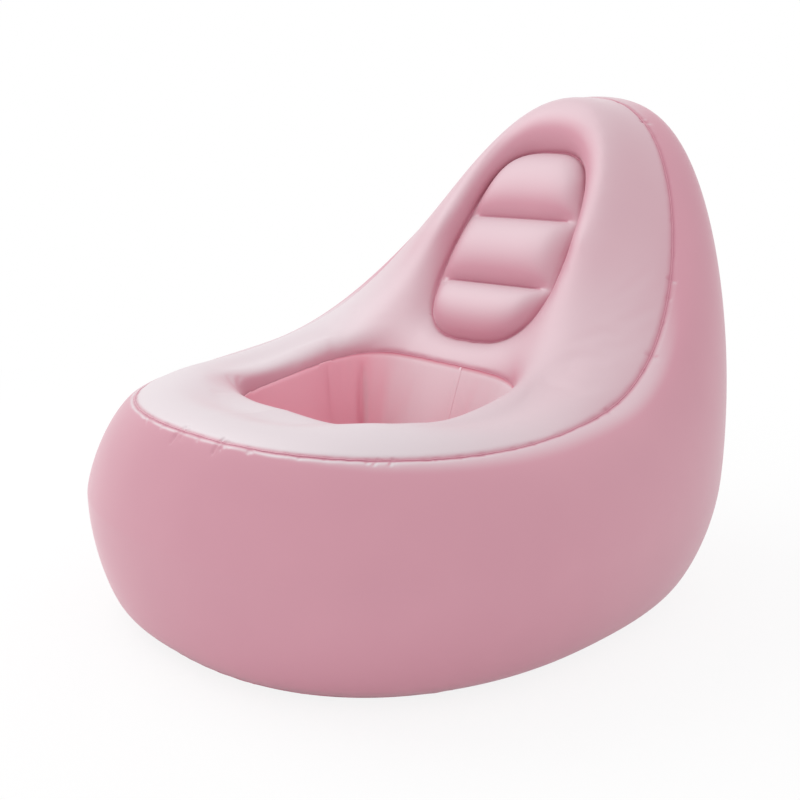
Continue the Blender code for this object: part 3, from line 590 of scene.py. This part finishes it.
def press_creases(piece: bpy.types.Object, creases: Sequence[Crease]) -> None:
    """Divide a film panel finely round some creases and press them in."""

    def spots_near(
        form: bmesh.types.BMesh, tree: KDTree, crease: Crease, widths: float
    ) -> list[bmesh.types.BMVert]:
        """Vertices within some widths of a crease."""
        half = (crease.end - crease.start).length / 2
        found = tree.find_range((crease.start + crease.end) / 2, half + widths * crease.width)
        return [
            form.verts[index] for _, index, _ in found
            if crease.reach(form.verts[index].co)[0] < widths * crease.width
        ]

    with edited(piece.data) as form:
        tree = tree_of([spot.co for spot in form.verts])
        form.verts.ensure_lookup_table()
        close = {
            spot for crease in creases for spot in spots_near(form, tree, crease, CREASE_CUT)
        }
        edges = [edge for edge in form.edges if close.issuperset(edge.verts)]
        bmesh.ops.subdivide_edges(form, edges=edges, cuts=1, use_grid_fill=True)
        tree = tree_of([spot.co for spot in form.verts])
        form.verts.ensure_lookup_table()
        form.normal_update()
        moves: dict[bmesh.types.BMVert, float] = {}
        for crease in creases:
            for spot in spots_near(form, tree, crease, CREASE_REACH):
                moves[spot] = moves.get(spot, 0.0) + crease.offset(spot.co)
        for spot, move in moves.items():
            spot.co += spot.normal * move


# The air body


@cache
def box_centre(node: str) -> Vector:
    """Middle of a CAD node's box."""
    low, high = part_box(node)
    return (low + high) / 2


def upward(_: Vector) -> Vector:
    """Straight up."""
    return UP


def downward(_: Vector) -> Vector:
    """Straight down."""
    return -UP


def from_middle(point: Vector) -> Vector:
    """Away from the chair's upright middle line."""
    away = point - box_centre("side_wall_panel")
    return Vector((away.x, away.y, 0)).normalized()


def to_well(point: Vector) -> Vector:
    """Towards the well's upright middle line."""
    inward = box_centre("well_foot_weld") - point
    return Vector((inward.x, inward.y, 0)).normalized()


@dataclass(frozen=True)
class Drop:
    """A part of the bolster round the well that the film's pull holds low, seen from above.

    Its turn from straight sideways and its half width are in degrees, and its radius from the
    well's middle, its spread and its depth are in metres.
    """

    turn: float
    half_turn: float
    radius: float
    spread: float
    depth: float


@dataclass
class AirBody:
    """The film panels that hold the air, and the welds between them.

    A painted light slope is how far film has to face the way that painted light comes from, from 0
    to 1, before any painted light shows on it. A gather is where the film is drawn together at the
    top seam: its turn in degrees from +X, seen from above, and its size as a share of a usual one.
    """

    film: bpy.types.Material
    base: bpy.types.Material
    liner: bpy.types.Material
    weld: bpy.types.Material
    valve: "Valve"
    panels: dict[str, bpy.types.Object] = field(default_factory=dict)
    laid: list[bpy.types.Object] = field(default_factory=list)
    # Painted light: a paler colour on film that faces the lamp's way
    painted_light_from: Vector = field(default_factory=lambda: Vector((0.05, -0.35, 0.9)))
    painted_light_slope: float = 0.46
    wall_painted_light_slope: float = 0.85
    liner_painted_light_from: Vector = field(default_factory=lambda: Vector((-0.55, -0.65, 0.5)))
    liner_painted_light_slope: float = 0.2
    # Painted shade: painted light fades by this share from the first x, y corner to the second,
    # towards the back and the +X side.
    light_falloff: float = 0.42
    light_falloff_from: tuple[float, float] = (-0.35, -0.35)
    light_falloff_full: tuple[float, float] = (-0.05, 0.10)
    # Seams
    bead_radius: float = 0.9 * MILLIMETRE
    fine_bead: float = 0.55 * MILLIMETRE
    rib_bead: float = 0.54 * MILLIMETRE
    bead_varies: float = 0.25
    bead_grain: float = 4 * MILLIMETRE
    film_in_bead: float = 0.8
    lap_lift: float = 0.5 * FILM
    lap_thickness: float = 0.3 * FILM
    seam_reach: float = 12 * MILLIMETRE
    groove_depth: float = 1.3 * MILLIMETRE
    groove_width: float = 4.0 * MILLIMETRE
    groove_varies: float = 0.4
    heated_width: float = 2.6 * MILLIMETRE
    wave_height: float = 1.0 * MILLIMETRE
    wave_length: float = 22 * MILLIMETRE
    # The pad's rib welds
    rib_weld_gap: float = 15 * MILLIMETRE
    rib_end_passes: int = 3
    rib_end_reach: float = 1.2
    rib_end_rim: float = 0.6
    rib_end_fade: float = 4.0
    rib_end_rise: float = 4 * MILLIMETRE
    # The bolster round the well
    knot_side: float = 0.85
    knot_lift: float = 0.02
    knot_reach: float = 0.085
    knot_passes: int = 60
    knot_shares: tuple[float, ...] = (1.0, 0.75, 0.5)
    drops: tuple[Drop, ...] = (
        Drop(12.0, 48.0, 0.242, 0.055, 21 * MILLIMETRE),
        Drop(-18.0, 42.0, 0.226, 0.050, 17 * MILLIMETRE),
        Drop(-80.0, 34.0, 0.250, 0.052, 18 * MILLIMETRE),
    )
    # Folds in the well's wall, and the painted shade along them
    fold_top: float = 0.02
    fold_shade: float = 2.2
    # Puckers
    pucker_count: int = 64
    pucker_scatter: float = 1.6
    pucker_least: float = 0.3
    pucker_more: float = 2.0
    pucker_depth: float = 2.0 * MILLIMETRE
    pucker_width: float = 3.0 * MILLIMETRE
    wall_pucker: float = 15 * MILLIMETRE
    top_pucker: float = 9 * MILLIMETRE
    tight_gathers: tuple[tuple[float, float], ...] = (
        (-101, 0.7), (-96, 0.6), (-91.5, 1.5), (-90, 0.9), (-86, 0.6), (-82, 1.3), (-81, 0.8),
        (-76, 0.6), (73.5, 1.2), (74.5, 0.8), (104, 1.1), (-128, 1.0), (-55, 0.7),
    )

    def build(self) -> None:
        """Make every panel, blow it up and finish it, then lay the beads along the seams."""
        for node, outward, inflation in (
            ("side_wall_panel", from_middle, Inflation(3.0, 4 * MILLIMETRE)),
            ("top_panel", upward, Inflation(3.0, 5 * MILLIMETRE)),
            ("base_panel", downward, None),
            ("well_liner", to_well, Inflation(2.0, 6 * MILLIMETRE)),
            ("back_pad_panel", upward, Inflation(3.0, 6 * MILLIMETRE)),
        ):
            form = visible_skin(node, outward)
            if node == "side_wall_panel":
                self.close_valve_hole(form)
            if node == "back_pad_panel":
                self.mark_rib_welds(form)
            piece = as_object(node.replace("_panel", "_film").replace("_liner", "_film"), form)
            subdivide(piece, 2)
            if node == "top_panel":
                self.ease_knots(piece)
            if node == "back_pad_panel":
                self.close_rib_ends(piece)
            if inflation:
                held = [index for loop in edge_loops(piece.data) for index in loop]
                inflation.blow(piece, held + self.on_rib_welds(piece))
                subdivide(piece, 1)
            if node == "top_panel":
                self.lower_sides(piece)
            self.panels[node] = piece
        self.open_valve_hole()
        self.fold_film()
        self.pucker()
        self.meet_at_seams()
        self.beads()
        self.rib_beads()
        self.closing_welds()
        self.paint_light()
        films = {"base_panel": self.base, "well_liner": self.liner}
        for node, piece in self.panels.items():
            dress(piece, Body.CHAIR, films.get(node, self.film), [node])

    def paint_light(self) -> None:
        """Paint light where film faces the lamp's way, and paint less of it towards the back and
        the +X side.
        """
        (from_x, from_y), (full_x, full_y) = self.light_falloff_from, self.light_falloff_full
        for piece in [*self.panels.values(), *self.laid]:
            mesh = piece.data
            lit_slope, light_falloff, way = self.painted_light_slope, self.light_falloff, self.painted_light_from.normalized()
            if piece is self.panels["side_wall_panel"]:
                lit_slope = self.wall_painted_light_slope
            # The liner's painted light comes in from the front left, through the well's mouth, and
            # does not fall off.
            if piece is self.panels["well_liner"] or piece.name == "well_liner_closing_lap":
                lit_slope, light_falloff, way = self.liner_painted_light_slope, 0.0, self.liner_painted_light_from.normalized()
            painted_light = mesh.attributes.new("painted_light", "FLOAT", "POINT")
            for vertex, normal in zip(mesh.vertices, mesh.vertex_normals):
                x, y, _ = vertex.co
                # Painted shade: less painted light towards the back and the +X side.
                held = smoothstep(from_y, full_y, y) * smoothstep(from_x, full_x, x)
                # Painted light: a paler colour where the film faces the painted light's way.
                left = smoothstep(lit_slope, 1.0, normal.vector.dot(way)) * (1 - light_falloff * held)
                painted_light.data[vertex.index].value = left

    def close_valve_hole(self, form: bmesh.types.BMesh) -> None:
        """Close the wall's skin round the valve with an even grid, so that it divides well."""
        seat = self.valve.seat()
        rim = [
            spot for spot in form.verts
            if spot.is_boundary and (spot.co - seat).length < 2 * self.valve.flange_radius
        ]
        torn = {face for spot in rim for face in spot.link_faces}
        loose = {
            edge for face in torn for edge in face.edges
            if len(edge.link_faces) == 2 and len(torn.intersection(edge.link_faces)) == 1
        }
        bmesh.ops.delete(form, geom=list(torn), context="FACES")
        level = [
            edge for edge in sorted(loose, key=lambda edge: edge.verts[0].co.to_tuple(6))
            if abs(edge.verts[0].co.x - edge.verts[1].co.x)
            > abs(edge.verts[0].co.z - edge.verts[1].co.z)
        ]
        made = bmesh.ops.grid_fill(form, edges=level, use_smooth=True)["faces"]
        for spot in {spot for face in made for spot in face.verts}:
            if abs(spot.co.x) < self.valve.flange_radius and not spot.is_boundary:
                spot.co.y = seat.y

    def open_valve_hole(self) -> None:
        """Lay the wall flat behind the valve's flange and cut the hole for its neck."""
        valve = self.valve
        seat, hole, flange = valve.seat(), valve.hole_radius, valve.flange_radius

        def radius(spot: bmesh.types.BMVert) -> float:
            """Distance from the valve's axis, endless for the chair's front."""
            return math.hypot(spot.co.x, spot.co.z - seat.z) if spot.co.y > 0 else math.inf

        with edited(self.panels["side_wall_panel"].data) as form:
            reach = valve.fine_to * flange
            near = [edge for edge in form.edges if (edge.verts[0].co - seat).length < reach]
            bmesh.ops.subdivide_edges(form, edges=near, cuts=1, use_grid_fill=True)
            for spot in form.verts:
                away = radius(spot) / flange
                flat = 1 - smoothstep(valve.flat_to, valve.round_from, away)
                spot.co.y += (seat.y - valve.sunk - spot.co.y) * flat
            inside = [
                face for face in form.faces if min(radius(spot) for spot in face.verts) < hole
            ]
            bmesh.ops.delete(form, geom=inside, context="FACES")
            for spot in form.verts:
                if spot.is_boundary and radius(spot) < flange:
                    scale = hole / radius(spot)
                    spot.co.x *= scale
                    spot.co.z = seat.z + (spot.co.z - seat.z) * scale

    @staticmethod
    def mark_rib_welds(form: bmesh.types.BMesh) -> None:
        """Mark the edges along the rib welds of the pad's skin as sharp creases."""
        crease = form.edges.layers.float.new("crease_edge")
        line = form.verts.layers.float.new("rib_weld")
        for node in ("upper_rib_weld", "lower_rib_weld"):
            points = sorted(tuple(vertex.co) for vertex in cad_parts[node].data.vertices)
            half = len(points) // 2
            start = sum((Vector(point) for point in points[:half]), Vector()) / half
            end = sum((Vector(point) for point in points[-half:]), Vector()) / half
            weld = Crease(start, end, 0.0, 1.0)
            on_weld = {spot for spot in form.verts if weld.reach(spot.co)[0] < 3 * MILLIMETRE}
            for spot in on_weld:
                spot[line] = 1.0
            for edge in form.edges:
                if edge.verts[0] in on_weld and edge.verts[1] in on_weld:
                    edge[crease] = 1.0

    def on_rib_welds(self, piece: bpy.types.Object) -> list[int]:
        """Vertices on the pad's rib welds, which stop short of its border."""
        line = piece.data.attributes.get("rib_weld")
        if line is None:
            return []
        mesh = piece.data
        border = tree_of(places_of(mesh, edge_loops(mesh)[0]))
        return [
            index for index, spot in enumerate(line.data)
            if spot.value > 0.999
            and border.find(mesh.vertices[index].co)[2] > self.rib_weld_gap
        ]

    def rib_lines(self, piece: bpy.types.Object) -> list[list[Vector]]:
        """Points along the pad's upper and lower rib welds, in order."""
        spots = places_of(piece.data, self.on_rib_welds(piece))
        middle = sum(spot.z for spot in spots) / len(spots)
        return [
            sorted((spot for spot in spots if (spot.z > middle) == upper), key=lambda spot: spot.x)
            for upper in (True, False)
        ]

    def close_rib_ends(self, piece: bpy.types.Object) -> None:
        """Round the pad over past the ends of its rib welds, where the pillows run together."""
        mesh = piece.data
        border = tree_of(places_of(mesh, edge_loops(mesh)[0]))
        ends = tree_of([point for weld in self.rib_lines(piece) for point in (weld[0], weld[-1])])
        with edited(mesh) as form:
            spots = [
                spot for spot in form.verts
                if not spot.is_boundary
                and border.find(spot.co)[2] < self.rib_weld_gap
                and ends.find(spot.co)[2] < self.rib_end_reach * self.rib_weld_gap
            ]
            relax(form, spots, self.rib_end_passes)
            form.normal_update()
            for spot in spots:
                away = ends.find(spot.co)[2] / self.rib_weld_gap
                inside = border.find(spot.co)[2] / self.rib_weld_gap
                rim = smoothstep(0.0, self.rib_end_rim, inside)
                fade = math.exp(-self.rib_end_fade * away * away)
                spot.co += spot.normal * self.rib_end_rise * rim * fade

    def ease_knots(self, piece: bpy.types.Object) -> None:
        """Smooth the bolster beside the two rear corners of the well, where it forks."""
        low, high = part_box("rim_seam_weld")
        knots = [
            Vector((side * self.knot_side * high.x, high.y, high.z + self.knot_lift))
            for side in (-1, 1)
        ]
        with edited(piece.data) as form:
            for share in self.knot_shares:
                spots = [
                    spot for spot in form.verts
                    if not spot.is_boundary
                    and min((spot.co - knot).length for knot in knots) < self.knot_reach * share
                ]
                relax(form, spots, self.knot_passes)

    def lower_sides(self, piece: bpy.types.Object) -> None:
        """Let the top film roll straight over into the well at its sides and front corners."""
        middle = box_centre("rim_seam_weld")
        for vertex in piece.data.vertices:
            across, along = vertex.co.x - middle.x, vertex.co.y - middle.y
            turn = math.degrees(math.atan2(along, abs(across)))
            reach = math.hypot(across, along)
            for drop in self.drops:
                side = abs(turn - drop.turn) / drop.half_turn
                if side < 1:
                    out = (reach - drop.radius) / drop.spread
                    fade = math.cos(math.pi / 2 * side) ** 1.5 * math.exp(-out * out)
                    vertex.co.z -= drop.depth * fade

    def well_point(self, surface: BVHTree, degrees: float, share: float) -> Vector:
        """Point of the well's wall.

        Args:
            surface: The liner's faces.
            degrees: The direction from the well's middle, with +X at 0 and the back at 90.
            share: The share of the way down from the rim.

        Returns:
            The point on the liner in that direction, at that height.
        """
        middle = box_centre("rim_seam_weld")
        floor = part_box("well_foot_weld")[1].z
        turn = math.radians(degrees)
        way = Vector((math.cos(turn), math.sin(turn), 0))
        height = middle.z + (floor - middle.z) * share
        hit = surface.ray_cast(Vector((middle.x, middle.y, height)), way)[0]
        return hit or surface.find_nearest(Vector((middle.x, middle.y, height)) + way)[0]

    def fold_film(self) -> None:
        """Press in the folds of the well's wall, each from a turn at the rim to one lower down,
        and paint shade along them.
        """
        liner = self.panels["well_liner"]
        surface = surface_of(liner)
        folds = [
            Crease(
                self.well_point(surface, top, self.fold_top),
                self.well_point(surface, foot, low),
                depth * MILLIMETRE, width * MILLIMETRE,
            )
            for top, foot, low, depth, width in (
                (142, 141, 0.95, 18, 10),
                (213, 203, 0.80, 10, 9),
                (160, 165, 0.85, 6, 9),
                (325, 322, 0.80, 9, 9),
                (36, 38, 0.85, 10, 10),
            )
        ]
        press_creases(liner, folds)
        # Painted shade: how strongly the liner takes the deeper weld colour, fading away from each
        # fold.
        fold_shade_paint = liner.data.attributes.new("painted_fold_shade", "FLOAT", "POINT")
        for vertex in liner.data.vertices:
            fold_shade_paint.data[vertex.index].value = max(
                math.exp(-self.fold_shade * away / fold.width) * fold.swell(share)
                for fold in folds
                for away, share in (fold.reach(vertex.co),)
            )

    def pucker(self) -> None:
        """Gather the film of the wall and the top in short folds along their seam."""
        wall, top = self.panels["side_wall_panel"], self.panels["top_panel"]
        line = places_of(wall.data, edge_loops(wall.data)[0])
        surfaces = {"side_wall_panel": surface_of(wall), "top_panel": surface_of(top)}
        folds: dict[str, list[Crease]] = {node: [] for node in surfaces}
        gathers = []
        for number in range(self.pucker_count):
            place = Vector((number * 7.31, 0.5, 0.5))
            step = (number + self.pucker_scatter * noise(place)) * len(line) / self.pucker_count
            size = self.pucker_least + self.pucker_more * noise(place + UP) ** 2
            gathers.append((line[int(step) % len(line)], size))
        for turn, size in self.tight_gathers:
            way = Vector((math.cos(math.radians(turn)), math.sin(math.radians(turn)), 0))
            gathers.append((max(line, key=lambda point: way.dot(from_middle(point))), size))
        for start, size in gathers:
            way = from_middle(start)
            across = Vector((-way.y, way.x, 0)) * noise(start * 90)
            for node, aim, length in (
                ("side_wall_panel", way * 0.6 - UP + across, self.wall_pucker),
                ("top_panel", UP * 0.3 - way - across, self.top_pucker),
            ):
                end = surfaces[node].find_nearest(start + aim.normalized() * length * size)[0]
                if (end - start).length > MILLIMETRE:
                    folds[node].append(
                        Crease(start, end, self.pucker_depth * size, self.pucker_width, 0.5)
                    )
        press_creases(wall, folds["side_wall_panel"])
        press_creases(top, folds["top_panel"])

    def meet_at_seams(self) -> None:
        """Sink the panels a little along their seams, wave them, note where heat has been and
        where the liner's folds get painted shade.
        """
        for node, piece in self.panels.items():
            mesh = piece.data
            rim = [index for loop in edge_loops(mesh) for index in loop]
            tree = tree_of(places_of(mesh, rim))
            heat = tree_of(places_of(mesh, rim + self.on_rib_welds(piece)))
            near = mesh.attributes.new("weld_tint_and_fold_shade", "FLOAT", "POINT")
            painted_fold_shade = mesh.attributes.get("painted_fold_shade")
            normals = [normal.vector.copy() for normal in mesh.vertex_normals]
            sink = 0.0 if node == "base_panel" else self.groove_depth
            for vertex in mesh.vertices:
                away = tree.find(vertex.co)[2]
                # The weld's deeper tint beside seams, and painted shade in the liner's folds.
                near.data[vertex.index].value = max(
                    math.exp(-((heat.find(vertex.co)[2] / self.heated_width) ** 2)),
                    painted_fold_shade.data[vertex.index].value if painted_fold_shade else 0.0,
                )
                if away < 4 * self.groove_width:
                    fade = math.exp(-((away / self.groove_width) ** 2))
                    varied = 1 + self.groove_varies * noise(vertex.co / self.wave_length)
                    vertex.co -= normals[vertex.index] * sink * fade * varied
                    wave = noise(vertex.co / self.wave_length * 1.7)
                    vertex.co.z += self.wave_height * fade * wave

    def lay_bead(
        self, name: str, path: Sequence[Vector], radii: Sequence[float], closed: bool
    ) -> None:
        """Lay one bead of melted film, in the place of the CAD weld of that name."""
        bead = rounded(name, path, radii, closed)
        self.laid.append(bead)
        dress(bead, Body.CHAIR, self.weld, [name.replace("_bead", "_weld")])

    def beads(self) -> None:
        """Lay a bead of melted film along every seam, and draw the panels' edges in to it."""
        loops = {node: edge_loops(piece.data) for node, piece in self.panels.items()}
        for name, node, number, others, thick in (
            ("top_seam_bead", "top_panel", 0, "side_wall_panel", self.bead_radius),
            ("base_seam_bead", "base_panel", 0, "side_wall_panel", self.bead_radius),
            ("rim_seam_bead", "well_liner", 0, "top_panel", self.fine_bead),
            ("well_foot_bead", "well_liner", 1, "base_panel", self.bead_radius),
            ("pad_border_bead", "back_pad_panel", 0, "top_panel", self.fine_bead),
        ):
            mine, beside = self.panels[node].data, self.panels[others].data
            loop = loops[node][number]
            rim = [index for other in loops[others] for index in other]
            tree = tree_of(places_of(beside, rim))
            path = [(point + tree.find(point)[0]) / 2 for point in places_of(mine, loop)]
            radii = [
                thick * (1 + self.bead_varies * noise(point / self.bead_grain)) for point in path
            ]
            line = tree_of(path)
            for mesh, indices in ((mine, loop), (beside, rim)):
                for index in indices:
                    vertex = mesh.vertices[index]
                    centre, _, away = line.find(vertex.co)
                    if self.film_in_bead * thick < away < self.seam_reach:
                        inward = thick * self.film_in_bead / away
                        vertex.co = centre + (vertex.co - centre) * inward
            self.lay_bead(name, path, radii, True)

    def rib_beads(self) -> None:
        """Lay the fused lines in the valleys between the pad's ribs."""
        pad = self.panels["back_pad_panel"]
        for name, line in zip(("upper_rib_bead", "lower_rib_bead"), self.rib_lines(pad)):
            self.lay_bead(name, line, [self.rib_bead] * len(line), False)

    def closing_welds(self) -> None:
        """Lay the lapped edge that closes each ring of film."""
        for node, panel, outward, turn in (
            ("side_wall_closing_weld", "side_wall_panel", from_middle, 1),
            ("well_liner_closing_weld", "well_liner", to_well, -1),
        ):
            lap = as_object(node.replace("_weld", "_lap"), visible_skin(node, outward))
            subdivide(lap, 3)
            shrink = lap.modifiers.new("lie_on_film", "SHRINKWRAP")
            shrink.target = self.panels[panel]
            shrink.wrap_method = "NEAREST_SURFACEPOINT"
            shrink.wrap_mode = "ABOVE_SURFACE"
            shrink.offset = self.lap_lift
            body = lap.modifiers.new("film", "SOLIDIFY")
            body.thickness = self.lap_thickness
            body.offset = 0.0
            apply_modifiers(lap)
            self.laid.append(lap)
            film = self.liner if panel == "well_liner" else self.film
            dress(lap, Body.CHAIR, film, [node])


# The valve


@dataclass
class Valve:
    """The two-stage air valve on the rear wall: flange, collar, cap, flap and their hinges.

    Its CAD pieces show as they are. The wall lies a little below its flange, by what is sunk.
    How far out the wall is flat, round again and finely divided is in radii of the flange.
    """

    moulded: bpy.types.Material
    clear: bpy.types.Material
    neck_inside: float = 8.0 * MILLIMETRE
    flange_radius: float = 28.0 * MILLIMETRE
    hole_radius: float = 22.0 * MILLIMETRE
    sunk: float = 0.3 * MILLIMETRE
    flat_to: float = 1.1
    round_from: float = 2.1
    fine_to: float = 2.2

    def seat(self) -> Vector:
        """Point of the wall on the valve's axis."""
        low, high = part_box("valve_flange")
        return Vector((0, low.y + self.neck_inside, (low.z + high.z) / 2))

    def build(self) -> None:
        """Give every piece of the valve its finish."""
        for material, names in (
            (self.moulded, ("valve_flange", "valve_collar", "valve_cap")),
            (self.moulded, ("collar_hinge_web", "cap_hinge_web")),
            (self.clear, ("valve_flap", "flap_hinge_web")),
        ):
            for name in names:
                paint(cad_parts[name].data, material)


@dataclass(frozen=True)
class Studio:
    """The pale floor, the soft light and the photograph's camera.

    The camera's values were fitted to the chair's outline in the photograph. The floor is as
    bright as the background where it is far from the chair, and a little less near it, so that
    the chair's shadow shows there.
    """

    azimuth: float = math.radians(42.66)
    distance: float = 1.8788
    height: float = 0.7684
    aim_side: float = -0.0088
    aim_height: float = 0.3134
    middle_y: float = -0.04355
    roll: float = math.radians(2.25)
    lens: float = 55.41
    surround: float = 0.81
    floor_size: float = 30.0
    floor_glow: tuple[float, float] = (0.86, 1.0)
    glow_reach: tuple[float, float] = (0.7, 1.8)
    box_place: Vector = field(default_factory=lambda: Vector((-1.7, -0.7, 2.7)))
    box_aim: Vector = field(default_factory=lambda: Vector((0, 0, 0.4)))
    box_size: float = 2.2
    box_power: float = 31.0

    def camera(self) -> None:
        """Place the camera as the photograph was taken."""
        back = Vector((math.sin(self.azimuth), -math.cos(self.azimuth), 0))
        right = Vector((math.cos(self.azimuth), math.sin(self.azimuth), 0))
        eye = back * self.distance + Vector((0, self.middle_y, self.height))
        target = right * self.aim_side + Vector((0, self.middle_y, self.aim_height))
        ahead = (target - eye).normalized()
        level = ahead.cross(UP).normalized()
        upright = level.cross(ahead)
        side = level * math.cos(self.roll) + upright * math.sin(self.roll)
        top = upright * math.cos(self.roll) - level * math.sin(self.roll)
        turn = Matrix((side, top, -ahead)).transposed().to_4x4()
        data = bpy.data.cameras.new("photo_camera")
        data.lens = self.lens
        data.sensor_width = 36.0
        camera = put("photo_camera", data)
        camera.matrix_world = Matrix.Translation(eye) @ turn
        bpy.context.scene.camera = camera

    def world(self) -> None:
        """Light from all round: white to the eye and in reflections, plainer on surfaces."""
        world = bpy.data.worlds.new("studio")
        bpy.context.scene.world = world
        world.use_nodes = True
        tree = world.node_tree
        plain = tree.nodes["Background"]
        plain.inputs["Color"].default_value = (1, 1, 1, 1)
        plain.inputs["Strength"].default_value = self.surround
        white = add_node(
            tree, "ShaderNodeBackground", None, {"Color": (1, 1, 1, 1), "Strength": 1.0}
        )
        path = add_node(tree, "ShaderNodeLightPath").outputs
        seen = path["Is Camera Ray"]
        for ray in ("Is Glossy Ray", "Is Transmission Ray"):
            seen = add_node(
                tree, "ShaderNodeMath", {"operation": "MAXIMUM"}, None, {0: seen, 1: path[ray]}
            ).outputs[0]
        mixed = add_node(
            tree, "ShaderNodeMixShader", None, None,
            {0: seen, 1: plain.outputs[0], 2: white.outputs[0]},
        )
        tree.links.new(mixed.outputs[0], tree.nodes["World Output"].inputs["Surface"])

    def floor(self) -> None:
        """A white floor that keeps a faint shadow."""
        form = bmesh.new()
        bmesh.ops.create_grid(form, x_segments=1, y_segments=1, size=self.floor_size)
        floor = as_object("studio_floor", form)
        matt = bpy.data.materials.new("matt_white_floor")
        matt.use_nodes = True
        tree = matt.node_tree
        shader = tree.nodes["Principled BSDF"]
        shader.inputs["Base Color"].default_value = linear("#FFFFFF")
        shader.inputs["Roughness"].default_value = 0.9
        shader.inputs["Specular IOR Level"].default_value = 0.0
        glow = add_node(
            tree, "ShaderNodeEmission", None, {"Color": (1, 1, 1, 1), "Strength": 1.0}
        )
        path = add_node(tree, "ShaderNodeLightPath").outputs
        place = add_node(tree, "ShaderNodeTexCoord").outputs["Object"]
        away = add_node(
            tree, "ShaderNodeVectorMath", {"operation": "LENGTH"}, None, {0: place}
        ).outputs["Value"]
        white = add_node(
            tree, "ShaderNodeMapRange", {"interpolation_type": "SMOOTHSTEP"},
            {
                "From Min": self.glow_reach[0], "From Max": self.glow_reach[1],
                "To Min": self.floor_glow[0], "To Max": self.floor_glow[1],
            },
            {"Value": away},
        ).outputs["Result"]
        share = add_node(
            tree, "ShaderNodeMath", {"operation": "MULTIPLY"}, None,
            {0: path["Is Camera Ray"], 1: white},
        ).outputs[0]
        mixed = add_node(
            tree, "ShaderNodeMixShader", None, None,
            {0: share, 1: shader.outputs[0], 2: glow.outputs[0]},
        )
        tree.links.new(mixed.outputs[0], tree.nodes["Material Output"].inputs["Surface"])
        paint(floor.data, matt)

    def lamp(self) -> None:
        """Hang the soft box above the chair's left."""
        data = bpy.data.lights.new("overhead_box", "AREA")
        data.shape = "SQUARE"
        data.size = self.box_size
        data.energy = self.box_power
        lamp = put("overhead_box", data)
        lamp.location = self.box_place
        lamp.rotation_mode = "QUATERNION"
        lamp.rotation_quaternion = (self.box_aim - self.box_place).to_track_quat("-Z", "Y")

    def build(self) -> None:
        """Set the stage."""
        bpy.context.scene.view_settings.view_transform = "Standard"
        self.camera()
        self.world()
        self.floor()
        self.lamp()


def main() -> None:
    """Build the chair and its stage."""
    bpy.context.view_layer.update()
    weld, clear = WELD_EDGE.material(), CLEAR_FILM.material()
    valve = Valve(MOULDED.material(), clear)
    film, base, liner = (finish.material() for finish in (WALL_FILM, BASE_FILM, LINER_FILM))
    AirBody(film, base, liner, weld, valve).build()
    valve.build()
    paint(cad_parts["pad_backing_sheet"].data, clear)
    Studio().build()


if __name__ == "__main__":
    main()
